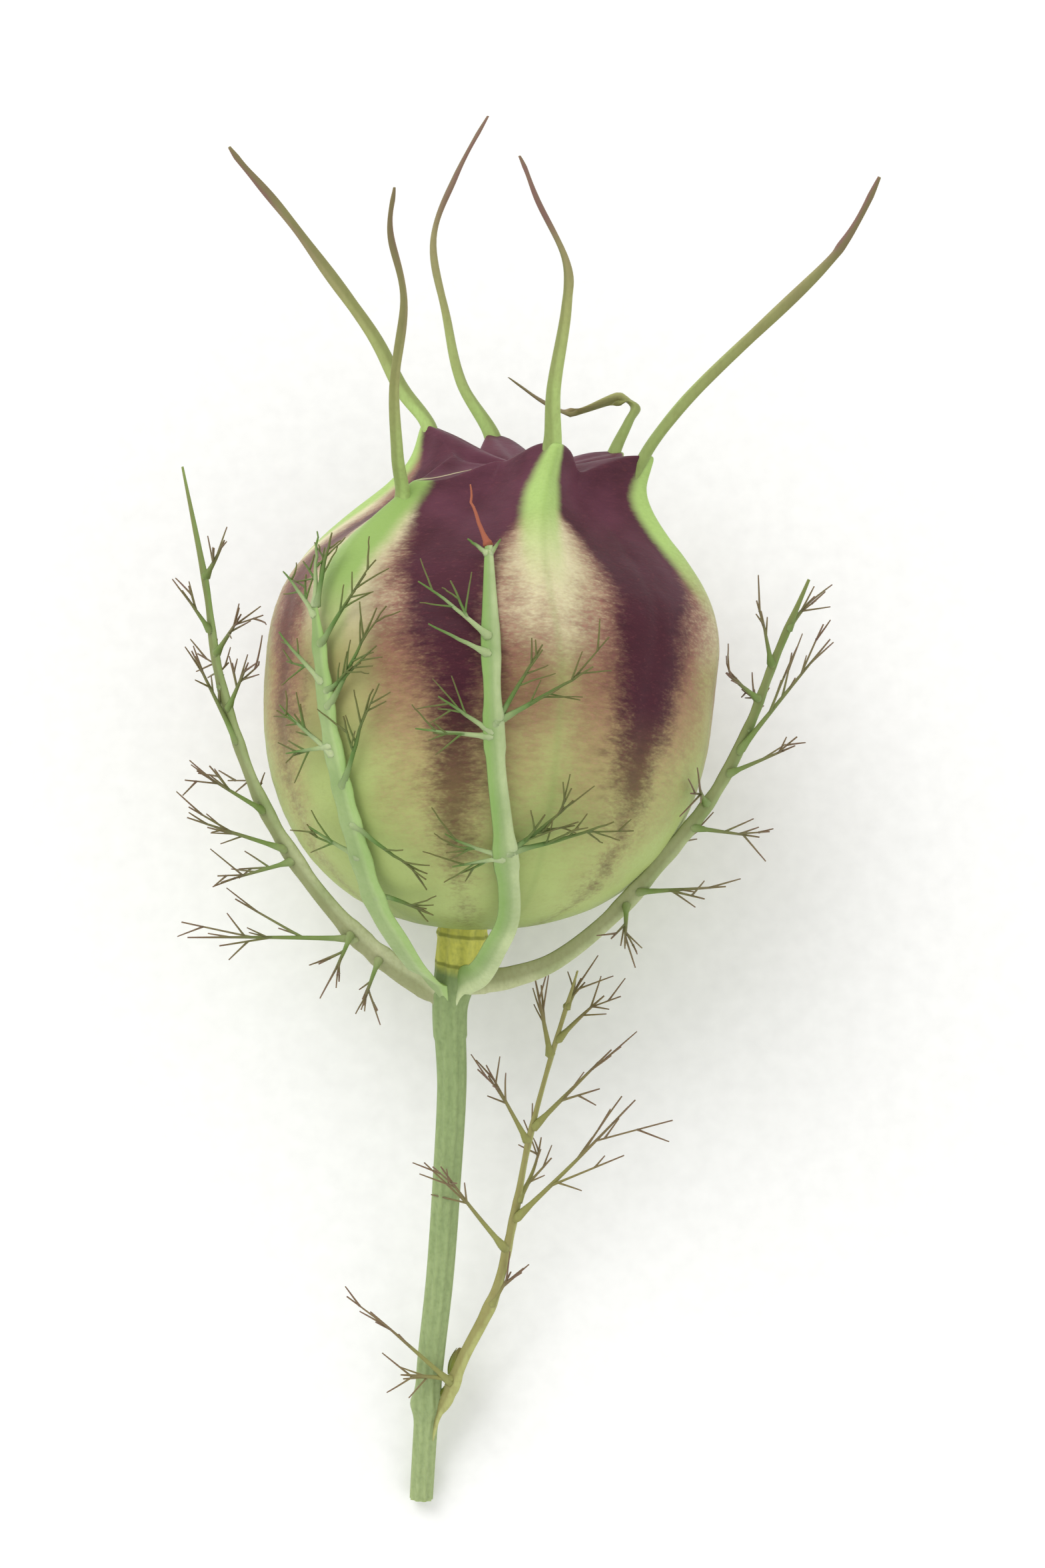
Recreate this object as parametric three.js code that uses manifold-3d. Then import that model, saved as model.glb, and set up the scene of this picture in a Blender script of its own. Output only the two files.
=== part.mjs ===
// A picked nigella seed pod (love-in-a-mist) with its ruff of thread-like bracts, six styles and a stem leaf.
// Millimetres. The plant is first built growing upwards around its collar, then laid down on its back:
//   growing frame  +X right, +Y back, +Z up the stem, origin where the bracts leave the stem
//   finished frame +Y from the cut stem to the styles, +Z up, origin at the bottom centre of the bounding box
import * as THREE from "three";
import { mergeVertices } from "three/addons/utils/BufferGeometryUtils.js";
import Module from "manifold-3d";

// ---------------------------------------------------------------- driving dimensions (mm, degrees)

const GAP = 0.2; // left open between neighbouring pieces

// Capsule: six fused carpels, widest below the middle and drawn in under a six-pointed crown.
const POD_HEIGHT = 27.5; // base to crown along the axis
const POD_RADIUS = 12.75; // at the widest level
const POD_WIDEST = 13.5; // height of the widest level above the base
const POD_NECK = 6.1; // radius under the crown
const POD_BASE = { x: 1.9, z: 3.15 }; // middle of the flat-round base
const POD_LEAN = 3.1; // sideways drift of the axis at the crown
const POD_TILT = 8; // tilt of the crown to the right
const RIDGES = [-108, -52, 10, 76, 132, 202]; // azimuth of each carpel's back ridge, 0 in front, 90 right
const SHORT_RIDGE = { index: 1, drop: 3 }; // the carpel whose style leaves lower on the shoulder
const CROWN_FLUTE = 0.3; // depth of the flutes at the crown, as a share of the radius
const SUTURE_GROOVE = 0.012; // depth of the flutes at the widest level
const KEEL = { height: 0.8, crownWidth: 0.75, bellyWidth: 2.2 }; // raised line down each carpel's back
const CROWN_SCALLOP = 1.3; // how far the rim drops between two ridges
const CROWN_HOLLOW = 1.5; // how far the middle of the crown lies under the ridges

// Stem: round, with a swelling at the leaf node, a collar and the receptacle under the capsule.
const STEM_LINE = [
  [-1.6, 0.4, -30], [-1.35, 0.3, -26], [-1.05, 0.2, -22], [-0.5, 0.1, -17],
  [-0.1, 0, -11.5], [0.2, 0, -6], [0.1, 0, -1.5], [0.6, 0, 1], [0.9, 0, 2.85],
];
const STEM_RADII = [0.68, 0.7, 0.78, 0.8, 0.82, 0.85, 0.95, 1.3, 1.32];
const LEAF_NODE = { at: 0.175, swelling: 0.25, length: 0.02 }; // as shares of the stem's line

// Styles: each starts on its ridge's beak. Points are [right, back, up].
const STYLE_RADIUS = { base: 0.62, middle: 0.3, tip: 0.12 };
const STYLES = {
  style_far_left: {
    ridge: 0,
    points: [[-2.7, 2.8, 33.6], [-4.5, 3.2, 36.9], [-7.9, 4.2, 41.6], [-10.7, 5, 45], [-12.5, 5.4, 47.3]],
  },
  style_front_left: {
    ridge: 1,
    points: [[-2.6, -6.4, 29.8], [-2.7, -7.2, 33.4], [-2.2, -7.8, 37.9], [-2.8, -8.3, 41.6],
      [-2.7, -8.6, 44]],
  },
  style_front: {
    ridge: 2,
    points: [[5.9, -6.9, 33.4], [6.6, -7.3, 37.6], [6.5, -7.7, 40.3], [5, -8.2, 43.5], [4, -8.6, 45.8]],
  },
  style_right: {
    ridge: 3,
    points: [[12.6, -2, 31.9], [15.4, -2.3, 34.9], [20.8, -2.9, 40], [22, -3.1, 41.6], [23.8, -3.4, 44.9]],
  },
  style_bent: {
    ridge: 4,
    points: [
      [10.3, 4.6, 31.6], [10.7, 4.9, 32.5], [9.5, 5, 32.9], [7.1, 4.9, 32.2], [5.2, 4.7, 32.8],
      [3.5, 4.5, 34.2],
    ],
  },
  style_back: {
    ridge: 5,
    points: [[0.7, 6.4, 33.9], [-0.2, 7, 37.7], [-0.9, 7.6, 42], [0.3, 8, 45.8], [2.3, 8.4, 49.2]],
  },
};

// Threads of the bracts and the leaf: they thin towards their ends and fork.
const THREAD = { base: 0.22, tip: 0.12, fork: 0.13 }; // radii
const THREAD_STEPS = 3; // straight stretches of a thread
const FORK_LENGTH = 0.42; // of the thread that it leaves
const FORK_ANGLE = { least: 28, spread: 20 }; // from the thread

// ---------------------------------------------------------------- small helpers

const V = (x, y, z) => new THREE.Vector3(x, y, z);
const radians = THREE.MathUtils.degToRad;
const { clamp, lerp, smoothstep } = THREE.MathUtils;

// A repeatable number from 0 to 1 for a seed and a place in the plant.
function chance(seed, place) {
  const wave = Math.sin(seed * 12.9898 + place * 78.233) * 43758.5453;
  return wave - Math.floor(wave);
}

// ---------------------------------------------------------------- capsule surface

// Mean radius at a height above the base.
function podRadius(height) {
  if (height < POD_WIDEST) {
    return POD_RADIUS * Math.pow(1 - Math.pow(1 - height / POD_WIDEST, 2.3), 0.425);
  }
  const rise = Math.min(1, (height - POD_WIDEST) / (0.9 * (POD_HEIGHT - POD_WIDEST)));
  return POD_NECK + (POD_RADIUS - POD_NECK) * 0.5 * (1 + Math.cos(Math.PI * Math.pow(rise, 1.75)));
}

// Middle of the level at a height above the base.
function podAxis(height) {
  return V(POD_BASE.x + POD_LEAN * Math.pow(height / POD_HEIGHT, 2.8), 0, POD_BASE.z + height);
}

// Place of an azimuth between its two ridges: the nearer ridge, the degrees from it, and how near the suture
// it lies, from 0 on a ridge to 1.
function carpelAt(azimuth) {
  let lower = RIDGES.length - 1;
  const wrapped = THREE.MathUtils.euclideanModulo(azimuth - RIDGES[0], 360) + RIDGES[0];
  while (RIDGES[lower] > wrapped) lower--;
  const next = lower + 1 < RIDGES.length ? RIDGES[lower + 1] : RIDGES[0] + 360;
  const share = (wrapped - RIDGES[lower]) / (next - RIDGES[lower]);
  const nearer = share < 0.5 ? lower : (lower + 1) % RIDGES.length;
  const offset = share < 0.5 ? wrapped - RIDGES[lower] : next - wrapped;
  return { ridge: nearer, offset, suture: 0.5 * (1 - Math.cos(2 * Math.PI * share)) };
}

// Height at which the side of the capsule ends in the crown's rim.
function rimHeight(azimuth) {
  const { ridge, suture } = carpelAt(azimuth);
  const short = ridge === SHORT_RIDGE.index ? SHORT_RIDGE.drop * (1 - suture) : 0;
  return POD_HEIGHT - CROWN_SCALLOP * suture - short;
}

// Radius of the fluted side at an azimuth and height.
function sideRadius(azimuth, height) {
  const { offset, suture } = carpelAt(azimuth);
  const radius = podRadius(height);
  const deepening = smoothstep(height, 0.68 * POD_HEIGHT, POD_HEIGHT);
  const flute = lerp(SUTURE_GROOVE, CROWN_FLUTE, deepening);
  const fade = smoothstep(height, 0.45 * POD_HEIGHT, 0.95 * POD_HEIGHT);
  const width = lerp(KEEL.bellyWidth, KEEL.crownWidth, fade);
  const reach = radius * radians(offset);
  return radius * (1 - flute * suture) + KEEL.height * fade * Math.exp(-Math.pow(reach / width, 2));
}

// A point of the level at a height, turned with the capsule's tilt.
function podPoint(azimuth, height, radius) {
  const tilt = radians(POD_TILT) * (height / POD_HEIGHT);
  const right = radius * Math.sin(radians(azimuth));
  const back = -radius * Math.cos(radians(azimuth));
  return podAxis(height).add(V(right * Math.cos(tilt), back, -right * Math.sin(tilt)));
}

// Azimuth, height and radius of a point, the other way round.
function podPlace(point) {
  let height = clamp(point.z - POD_BASE.z, 0, POD_HEIGHT);
  for (let pass = 0; pass < 3; pass++) {
    const tilt = radians(POD_TILT) * (height / POD_HEIGHT);
    height = clamp(point.z - POD_BASE.z + (point.x - podAxis(height).x) * Math.tan(tilt), 0, POD_HEIGHT);
  }
  const right = point.x - podAxis(height).x;
  const azimuth = THREE.MathUtils.radToDeg(Math.atan2(right, -point.y));
  return { azimuth, height, radius: Math.hypot(right, point.y) };
}

// Moves a point that is too near the capsule straight out to the given distance from it.
function offPod(point, distance) {
  const { azimuth, height, radius } = podPlace(point);
  if (height < 1.5 || height > POD_HEIGHT - 1) return point;
  const least = sideRadius(azimuth, height) + distance;
  return radius >= least ? point : podPoint(azimuth, height, least);
}

// A point on the front of the capsule at a place right and up, held off the surface by lift.
function hug(right, up, lift) {
  const level = clamp(up - POD_BASE.z, 1, 0.92 * POD_HEIGHT);
  const across = right - podAxis(level).x;
  const radius = podRadius(level);
  const back = -Math.sqrt(Math.max(0.15 * radius * radius, radius * radius - across * across)) - lift;
  return offPod(V(right, back, up), lift);
}

// ---------------------------------------------------------------- resting plane

// The pod lies on the bract under its belly and on the stem's cut end, so the stem climbs towards the crown.
const UNDER_BELLY = 1.0; // room for the flattened bract between the capsule and the table
const BELLY_REACH = POD_RADIUS + UNDER_BELLY;
const STEM_END = V(...STEM_LINE[0]);
const BELLY_MIDDLE = POD_BASE.z + POD_WIDEST;
const LIE_TILT = Math.asin((BELLY_REACH - STEM_END.y - STEM_RADII[0]) / (BELLY_MIDDLE - STEM_END.z));

// A point on the table at a place right and up the stem, held off it by lift.
function onTable(right, up, lift) {
  const reach = BELLY_REACH - lift + (up - BELLY_MIDDLE) * Math.sin(LIE_TILT);
  return V(right, reach / Math.cos(LIE_TILT), up);
}

// ---------------------------------------------------------------- tubes and joins

const wasm = await Module();
wasm.setup();

// A closed tube along a smooth line through the points. radii(t) gives [half width, half thickness], and the
// width lies across the direction away from the capsule's axis, so a flat strap shows its face outwards.
function tube(points, radii, sides, steps) {
  const line = new THREE.CatmullRomCurve3(points, false, "catmullrom", 0.5);
  const frames = line.computeFrenetFrames(steps, false);
  const geometry = new THREE.CylinderGeometry(1, 1, 1, sides, steps);
  const position = geometry.attributes.position;
  for (let i = 0; i < position.count; i++) {
    const t = 0.5 - position.getY(i);
    const step = Math.round(t * steps);
    const [wide, thick] = radii(t);
    const centre = line.getPointAt(t);
    const ahead = frames.tangents[step];
    let across = frames.normals[step];
    if (wide !== thick) across = V(0, 0, 1).cross(V(centre.x, centre.y, 0)).projectOnPlane(ahead).normalize();
    const out = ahead.clone().cross(across);
    centre.addScaledVector(across, wide * position.getX(i)).addScaledVector(out, thick * position.getZ(i));
    position.setXYZ(i, centre.x, centre.y, centre.z);
  }
  return geometry;
}

// A geometry as a manifold solid: shared corners merged, faces turned outwards.
function solid(geometry) {
  const bare = geometry.clone();
  bare.deleteAttribute("normal");
  bare.deleteAttribute("uv");
  const merged = mergeVertices(bare, 1e-4);
  const triVerts = new Uint32Array(merged.index.array);
  const made = () => new wasm.Manifold(
    new wasm.Mesh({ numProp: 3, vertProperties: merged.attributes.position.array, triVerts }),
  );
  if (made().volume() > 0) return made();
  for (let i = 0; i < triVerts.length; i += 3) {
    [triVerts[i + 1], triVerts[i + 2]] = [triVerts[i + 2], triVerts[i + 1]];
  }
  return made();
}

// A manifold solid back as a three.js geometry.
function geometryOf(body) {
  const { vertProperties, triVerts } = body.getMesh();
  const geometry = new THREE.BufferGeometry();
  geometry.setAttribute("position", new THREE.BufferAttribute(new Float32Array(vertProperties), 3));
  geometry.setIndex(new THREE.BufferAttribute(new Uint32Array(triVerts), 1));
  geometry.computeVertexNormals();
  return geometry;
}

// ---------------------------------------------------------------- feathery leaves

// One thread with its forks. place(point, tip) puts a point of the thread where the leaf lets it lie.
function thread(start, reach, forks, seed, place) {
  const pointAt = (t) => place(start.clone().addScaledVector(reach, t), t);
  const route = [start, pointAt(0.35), pointAt(0.7), pointAt(1)];
  const line = new THREE.CatmullRomCurve3(route, false, "catmullrom", 0.5);
  const radius = (t) => lerp(THREAD.base, THREAD.tip, t);
  const pieces = [solid(tube(route, (t) => [radius(t), radius(t)], 4, THREAD_STEPS))];
  const onTube = (t) => {
    const step = Math.min(THREAD_STEPS - 1, Math.floor(t * THREAD_STEPS));
    const ends = [step, step + 1].map((k) => line.getPointAt(k / THREAD_STEPS));
    return ends[0].lerp(ends[1], t * THREAD_STEPS - step);
  };
  const length = reach.length();
  const ahead = reach.clone().normalize();
  const aside = ahead.clone().cross(Math.abs(ahead.z) < 0.9 ? V(0, 0, 1) : V(1, 0, 0)).normalize();
  for (let fork = 0; fork < forks; fork++) {
    const from = 0.4 + 0.45 * ((fork + chance(seed, fork)) / forks);
    const angle = radians(FORK_ANGLE.least + FORK_ANGLE.spread * chance(seed, fork + 10));
    const roll = radians(180 * (fork % 2) + 100 * (chance(seed, fork + 20) - 0.5));
    const side = aside.clone().applyAxisAngle(ahead, roll);
    const way = ahead.clone().multiplyScalar(Math.cos(angle)).addScaledVector(side, Math.sin(angle));
    const forkLength = Math.max(1.1, FORK_LENGTH * length * (0.8 + 0.4 * chance(seed, fork + 30)));
    const root = onTube(from);
    const end = place(root.clone().addScaledVector(way, forkLength), 1);
    pieces.push(solid(tube([root, end], () => [THREAD.fork, THREAD.fork], 3, 1)));
  }
  return pieces;
}

// A bract or leaf: a flat midrib and its threads, joined into one body.
// threads are rows of [place on the midrib 0-1, [right, back, up] reach, forks].
function feather({ midrib, width, thickness, threads, seed, place }) {
  const line = new THREE.CatmullRomCurve3(midrib, false, "catmullrom", 0.5);
  const radii = (t) => [lerp(width[0], width[1], t) / 2, lerp(thickness[0], thickness[1], t) / 2];
  const pieces = [solid(tube(midrib, radii, 6, 14))];
  threads.forEach(([at, reach, forks], row) => {
    pieces.push(...thread(line.getPoint(at), V(...reach), forks, seed + row, place));
  });
  return geometryOf(pieces.reduce((body, piece) => body.add(piece)));
}

// ---------------------------------------------------------------- sub-parts

function capsule() {
  const sideRows = 15;
  const crownRows = 4;
  const around = 54;
  const rows = sideRows + crownRows;
  const profile = [];
  for (let row = 0; row <= rows; row++) {
    const onAxis = row === 0 || row === rows;
    profile.push(new THREE.Vector2(onAxis ? 0 : 1, row));
  }
  const geometry = new THREE.LatheGeometry(profile, around);
  const position = geometry.attributes.position;
  for (let i = 0; i < position.count; i++) {
    const row = i % (rows + 1);
    const azimuth = (360 * Math.floor(i / (rows + 1))) / around;
    const rim = rimHeight(azimuth);
    const up = Math.min(1, row / sideRows);
    const inward = Math.max(0, (row - sideRows) / crownRows);
    const height = rim * Math.pow(up, lerp(2, 1, up));
    const hollow = (rim - (POD_HEIGHT - CROWN_HOLLOW)) * smoothstep(inward, 0, 1);
    const point = podPoint(azimuth, height - hollow, sideRadius(azimuth, height) * (1 - inward));
    if (row === rows) point.copy(podPoint(0, POD_HEIGHT - CROWN_HOLLOW, 0));
    position.setXYZ(i, point.x, point.y, point.z);
  }
  return geometryOf(solid(geometry));
}

function stem() {
  const last = STEM_RADII.length - 1;
  const radius = (t) => {
    const lower = Math.min(last - 1, Math.floor(t * last));
    const swell = LEAF_NODE.swelling * Math.exp(-Math.pow((t - LEAF_NODE.at) / LEAF_NODE.length, 2));
    return lerp(STEM_RADII[lower], STEM_RADII[lower + 1], t * last - lower) + swell;
  };
  return tube(STEM_LINE.map((p) => V(...p)), (t) => [radius(t), radius(t)], 10, 28);
}

// The beak of a ridge: where its style stands on the crown's rim.
function beak(ridge) {
  const azimuth = RIDGES[ridge];
  const height = rimHeight(azimuth);
  return podPoint(azimuth, height, sideRadius(azimuth, height) - STYLE_RADIUS.base);
}

function style({ ridge, points }) {
  const line = points.map((p) => V(...p));
  const foot = beak(ridge);
  const ahead = line[0].clone().sub(foot).normalize();
  const start = foot.clone().addScaledVector(ahead, GAP + 0.5 * STYLE_RADIUS.base);
  const radius = (t) => (t < 0.3
    ? lerp(STYLE_RADIUS.base, STYLE_RADIUS.middle, t / 0.3)
    : lerp(STYLE_RADIUS.middle, STYLE_RADIUS.tip, (t - 0.3) / 0.7));
  return tube([start, ...line], (t) => [radius(t), radius(t)], 6, 12);
}

// Threads of the two bracts in front lie against the capsule and lift off towards their tips.
const againstPod = (point, t) => hug(point.x, point.z, 0.45 + 0.5 * t);
// Threads of the bract underneath are pressed flat on the table.
const pressed = (point) => onTable(point.x, point.z, THREAD.base);
// All others stand free of the capsule.
const free = (point) => offPod(point, 0.5);

const LEAVES = {
  bract_right: {
    midrib: [V(1.95, -0.6, 0), V(3.6, -1, 0.3), V(6.2, -1.8, 1.5), V(9.4, -2.6, 4.2), V(12.5, -3.1, 7.8),
      V(15, -2.6, 11), V(16.9, -1.8, 14.6), V(18.4, -1, 18.4), V(20.3, -0.4, 22.8)],
    width: [1.5, 0.4], thickness: [0.7, 0.35], seed: 11, place: free,
    threads: [
      [0.4, [-0.1, -1.2, -2.3], 2], [0.42, [5, -0.8, 0.4], 1], [0.5, [1, 3.6, 1], 2],
      [0.55, [3.9, 0.5, -0.6], 1], [0.6, [-0.6, -3, 1.4], 1], [0.66, [3.8, -0.8, 1.7], 1],
      [0.7, [5.2, 0.3, 6.4], 3], [0.74, [0.6, 3.2, 2.2], 2], [0.8, [-2, -0.9, 1.6], 1],
      [0.86, [-0.7, -1.2, 3.2], 1], [0.92, [1.6, 0.8, 1.9], 1],
    ],
  },
  bract_left: {
    midrib: [V(-1.3, -0.3, -0.6), V(-3.2, -0.6, 0.9), V(-5.6, -1, 3.2), V(-8.3, -1.2, 6.6),
      V(-10.5, -1.2, 10.4), V(-12, -1, 14.4), V(-13, -0.6, 18.2), V(-13.6, -0.2, 22.6),
      V(-14.9, 0.6, 29.1)],
    width: [1.7, 0.35], thickness: [0.7, 0.35], seed: 31, place: free,
    threads: [
      [0.16, [-0.9, -1.2, -2.6], 2], [0.22, [-9.6, -1, 0.2], 3], [0.24, [-1.2, -1.5, -2.6], 2],
      [0.39, [-4.2, 0.6, -1.3], 2], [0.41, [-5.6, -0.6, 1.9], 2], [0.48, [-3.8, -0.8, 2.4], 2],
      [0.5, [-1, 3.4, 1.2], 2], [0.6, [-2.6, 0.4, 5.2], 2], [0.66, [1.3, -1.8, 2.8], 2],
      [0.7, [-0.6, 3, 1.8], 2], [0.76, [1.6, -1.4, 2.4], 2], [0.8, [-1.6, -0.4, 2.4], 1],
      [0.88, [1.2, -0.8, 2.2], 1],
    ],
  },
  bract_front_left: {
    midrib: [V(-0.9, -1.45, 0), V(-2.1, -3.4, 1.2), V(-3.2, -6, 3), hug(-4.2, 6.2, 1),
      hug(-5.6, 10.9, 0.65), hug(-6.4, 14.3, 0.65), hug(-7.1, 17.9, 0.65), hug(-7.3, 21.4, 0.8)],
    width: [1.4, 0.5], thickness: [0.7, 0.4], seed: 53, place: againstPod,
    threads: [
      [0.43, [3.6, 0, 0.2], 2], [0.5, [-3.2, 0, 2], 2], [0.58, [3.8, 0, -2.2], 2],
      [0.62, [2.7, 0, 3.6], 2], [0.7, [-2.6, 0, 2.6], 2], [0.76, [3, 0, 3.4], 2],
      [0.86, [-2.2, 0, 2.2], 2], [0.9, [3.2, 0, 3.6], 2], [0.96, [-1.2, 0, 4.4], 2], [1, [0.2, 0, 3.8], 1],
    ],
  },
  bract_front: {
    midrib: [V(1.1, -1.7, 0.2), V(2.2, -3.9, 1), V(3, -6.9, 2.6), hug(3.3, 5.8, 1), hug(3.1, 9.5, 0.8),
      hug(2.7, 13.5, 0.75), hug(2.4, 18.5, 0.75), hug(2.2, 24, 0.9)],
    width: [1.5, 0.9], thickness: [0.8, 0.5], seed: 71, place: againstPod,
    threads: [
      [0.52, [-3.6, 0, 0.6], 2], [0.53, [4.6, 0, 5], 3], [0.56, [5.2, 0, 2.4], 2],
      [0.755, [-3.4, 0, 2], 2], [0.76, [-4, 0, 0.6], 0], [0.78, [5.2, 0, 3.6], 2],
      [0.88, [-4, 0, 3.6], 1], [0.86, [-3.4, 0, 1.8], 0], [1, [-1.5, 0, 1.6], 0], [1, [-0.8, 0, 5.6], 0],
    ],
  },
  bract_back: {
    midrib: [V(0.8, 1.6, -0.2), V(1, 4, 0.8), V(1.4, 7.4, 2.8), onTable(1.8, 6.6, 0.9),
      onTable(2, 10, 0.4), onTable(2.1, 14.5, 0.35), onTable(2, 21.5, 0.35)],
    width: [1.4, 0.5], thickness: [0.8, 0.4], seed: 97, place: pressed,
    threads: [
      [0.64, [-6.6, 0, 2.4], 2], [0.66, [6.4, 0, 2.6], 2], [0.74, [-8.4, 0, 3.6], 2],
      [0.77, [9.4, 0, 4.4], 2], [0.85, [-7.4, 0, 4.4], 2], [0.87, [11.4, 0, 3.4], 2],
      [0.94, [-4.6, 0, 4.6], 2], [0.95, [5.4, 0, 4.8], 2],
    ],
  },
  leaf: {
    midrib: [V(-0.1, -0.6, -23.9), V(0.9, -0.7, -21.4), V(2.7, -0.3, -17.8), V(3.8, 0.4, -13.3),
      V(4.6, 1.2, -9.3), V(5.8, 2.2, -4.9), V(7.4, 3.2, 0.2)],
    width: [0.8, 0.3], thickness: [0.5, 0.3], seed: 119, place: (point) => point,
    threads: [
      [0.06, [-4.6, -1.8, 4.6], 1], [0.08, [-3, -1.4, 0.6], 1], [0.3, [1.2, 0.5, 1.9], 1],
      [0.42, [-3.7, -2.9, 5.4], 2], [0.48, [7, 1.2, 6.8], 3], [0.52, [1.4, 3.2, 3.2], 2],
      [0.66, [-2.4, -0.6, 4.6], 2], [0.69, [4.6, 1.4, 4.4], 2], [0.84, [-0.9, -0.6, 4.6], 1],
      [0.87, [2.8, 0.6, 2.6], 1], [0.93, [0.9, 1.4, 1.6], 1],
    ],
  },
};

// A resting bud in the leaf's axil: a pointed egg between leaf and stem.
function axillaryBud() {
  const geometry = new THREE.SphereGeometry(0.5, 12, 8);
  geometry.scale(0.9, 0.9, 1.7);
  geometry.rotateY(radians(12));
  geometry.translate(0.6, 0.75, -22.1);
  return geometry;
}

// ---------------------------------------------------------------- the plant

const finish = (color, roughness) => new THREE.MeshStandardMaterial({ color, roughness, metalness: 0 });
const plant = new THREE.Group();

function addPiece(name, geometry, material) {
  const mesh = new THREE.Mesh(geometry, material);
  mesh.name = name;
  plant.add(mesh);
}

addPiece("stem", stem(), finish(0x8d9e6a, 0.55));
addPiece("capsule", capsule(), finish(0xa6b86f, 0.5));
for (const [name, shape] of Object.entries(STYLES)) addPiece(name, style(shape), finish(0xa5ae74, 0.6));
for (const [name, shape] of Object.entries(LEAVES)) addPiece(name, feather(shape), finish(0x86a35c, 0.6));
addPiece("axillary_bud", axillaryBud(), finish(0xb4b45a, 0.6));

// Laid down: the stem points along +Y and climbs by LIE_TILT, and the bounding box stands on the origin.
plant.rotation.x = LIE_TILT - Math.PI / 2;
plant.updateMatrixWorld(true);
const bounds = new THREE.Box3().setFromObject(plant, true);
plant.position.set(-(bounds.min.x + bounds.max.x) / 2, -(bounds.min.y + bounds.max.y) / 2, -bounds.min.z);

const pod = new THREE.Group();
pod.add(plant);
export default pod;
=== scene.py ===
"""Nigella seed pod: the fine surface, finishes, table, light and camera around the fixed frame.

The pod is grown upright (right, back, up, with the origin where the bracts leave the stem), then laid down
as the frame has it. Lengths are metres; the plant's numbers are written in millimetres and multiplied by MM.
"""

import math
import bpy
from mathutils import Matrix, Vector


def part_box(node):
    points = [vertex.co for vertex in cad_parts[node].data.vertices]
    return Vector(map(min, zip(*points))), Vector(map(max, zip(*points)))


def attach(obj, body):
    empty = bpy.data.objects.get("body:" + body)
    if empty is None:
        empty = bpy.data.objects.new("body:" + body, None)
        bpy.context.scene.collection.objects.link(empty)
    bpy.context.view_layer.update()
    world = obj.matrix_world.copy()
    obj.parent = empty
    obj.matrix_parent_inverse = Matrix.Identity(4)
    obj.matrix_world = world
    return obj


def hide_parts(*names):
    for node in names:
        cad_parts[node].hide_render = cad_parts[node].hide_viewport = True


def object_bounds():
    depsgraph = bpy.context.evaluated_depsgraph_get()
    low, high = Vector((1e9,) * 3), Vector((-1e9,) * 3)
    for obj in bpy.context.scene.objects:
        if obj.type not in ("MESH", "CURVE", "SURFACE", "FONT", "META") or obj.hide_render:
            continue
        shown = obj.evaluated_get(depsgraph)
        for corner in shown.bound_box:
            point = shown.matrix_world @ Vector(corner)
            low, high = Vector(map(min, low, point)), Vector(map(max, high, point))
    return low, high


bl_info = {
    "name": "Nigella Seed Pod",
    "version": (1, 0, 0),
    "blender": (4, 5, 0),
    "location": "View3D > Sidebar > Nigella",
    "description": "Builds a picked nigella seed pod with its ruff of thread-like bracts",
    "category": "Add Mesh",
}

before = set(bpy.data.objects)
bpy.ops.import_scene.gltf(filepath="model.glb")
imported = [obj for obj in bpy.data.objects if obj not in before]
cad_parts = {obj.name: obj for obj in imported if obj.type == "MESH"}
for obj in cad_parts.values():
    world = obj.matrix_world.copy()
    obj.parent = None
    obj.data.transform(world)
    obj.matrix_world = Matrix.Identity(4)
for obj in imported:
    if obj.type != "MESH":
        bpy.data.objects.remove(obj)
CAD_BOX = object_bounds()

from collections import namedtuple

import bmesh
import bpy
from bpy.props import FloatProperty, FloatVectorProperty, IntProperty, PointerProperty
from mathutils import Matrix, Quaternion, Vector
from mathutils.bvhtree import BVHTree

MM = 0.001
DEGREE = math.radians(1)

# ------------------------------------------------------------------ numbers of the plant (mm, degrees)

RIDGES = (-108, -52, 10, 76, 132, 202)  # azimuth of each carpel's back ridge at the crown, 0 in front, 90 right
BELLY_RIDGES = (-108, -41, 18, 76, 132, 202)  # and at the widest level
SHORT_RIDGE = 1  # the carpel whose style leaves lower on the shoulder
SEAMS = (-76, -21, 50, 104, 167, 227)  # azimuth of the seam after each ridge, at the crown
BELLY_SEAMS = (-62, -7, 43, 104, 167, 227)  # and at the widest level
BANDS = (0.5, 0.82, 1.0, 0.9, 0.85, 0.8)  # how wide the band over each seam is
GREENNESS = (0.6, 1.0, 0.1, 0.4, 0.6, 0.6)  # how broad and how far down each ridge is green
POD_BASE = (1.9, 3.15)  # right and up of the middle of the capsule's base
LOWER_CURVE = (2.3, 0.425)  # powers of the rounding below the widest level
UPPER_CURVE = (0.9, 1.75)  # where the shoulder ends, and its power
LEAN_POWER = 2.8  # of the axis drifting sideways as it climbs
SIDE_SHARE = 0.88  # of the rows of points, the rest being the crown
CROWN_POWER = 1.25  # of the radius closing over the crown
CROWN_FOLD = 0.5  # depth of the crown's folds
KEEL_WIDTH = (2.2, 0.55)  # half width of a keel, low and at the crown
KEEL_LINE = (0.07, 0.16)  # height and half width of the line on a keel
SEAM_LINE = (0.09, 0.25)  # depth and half width of the groove in a seam
CHANNEL_WIDTH, GROOVE_SHADE_WIDTH = 0.42, 0.3  # of a strap's half width: its hollow, and the painted shade laid down it

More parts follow.
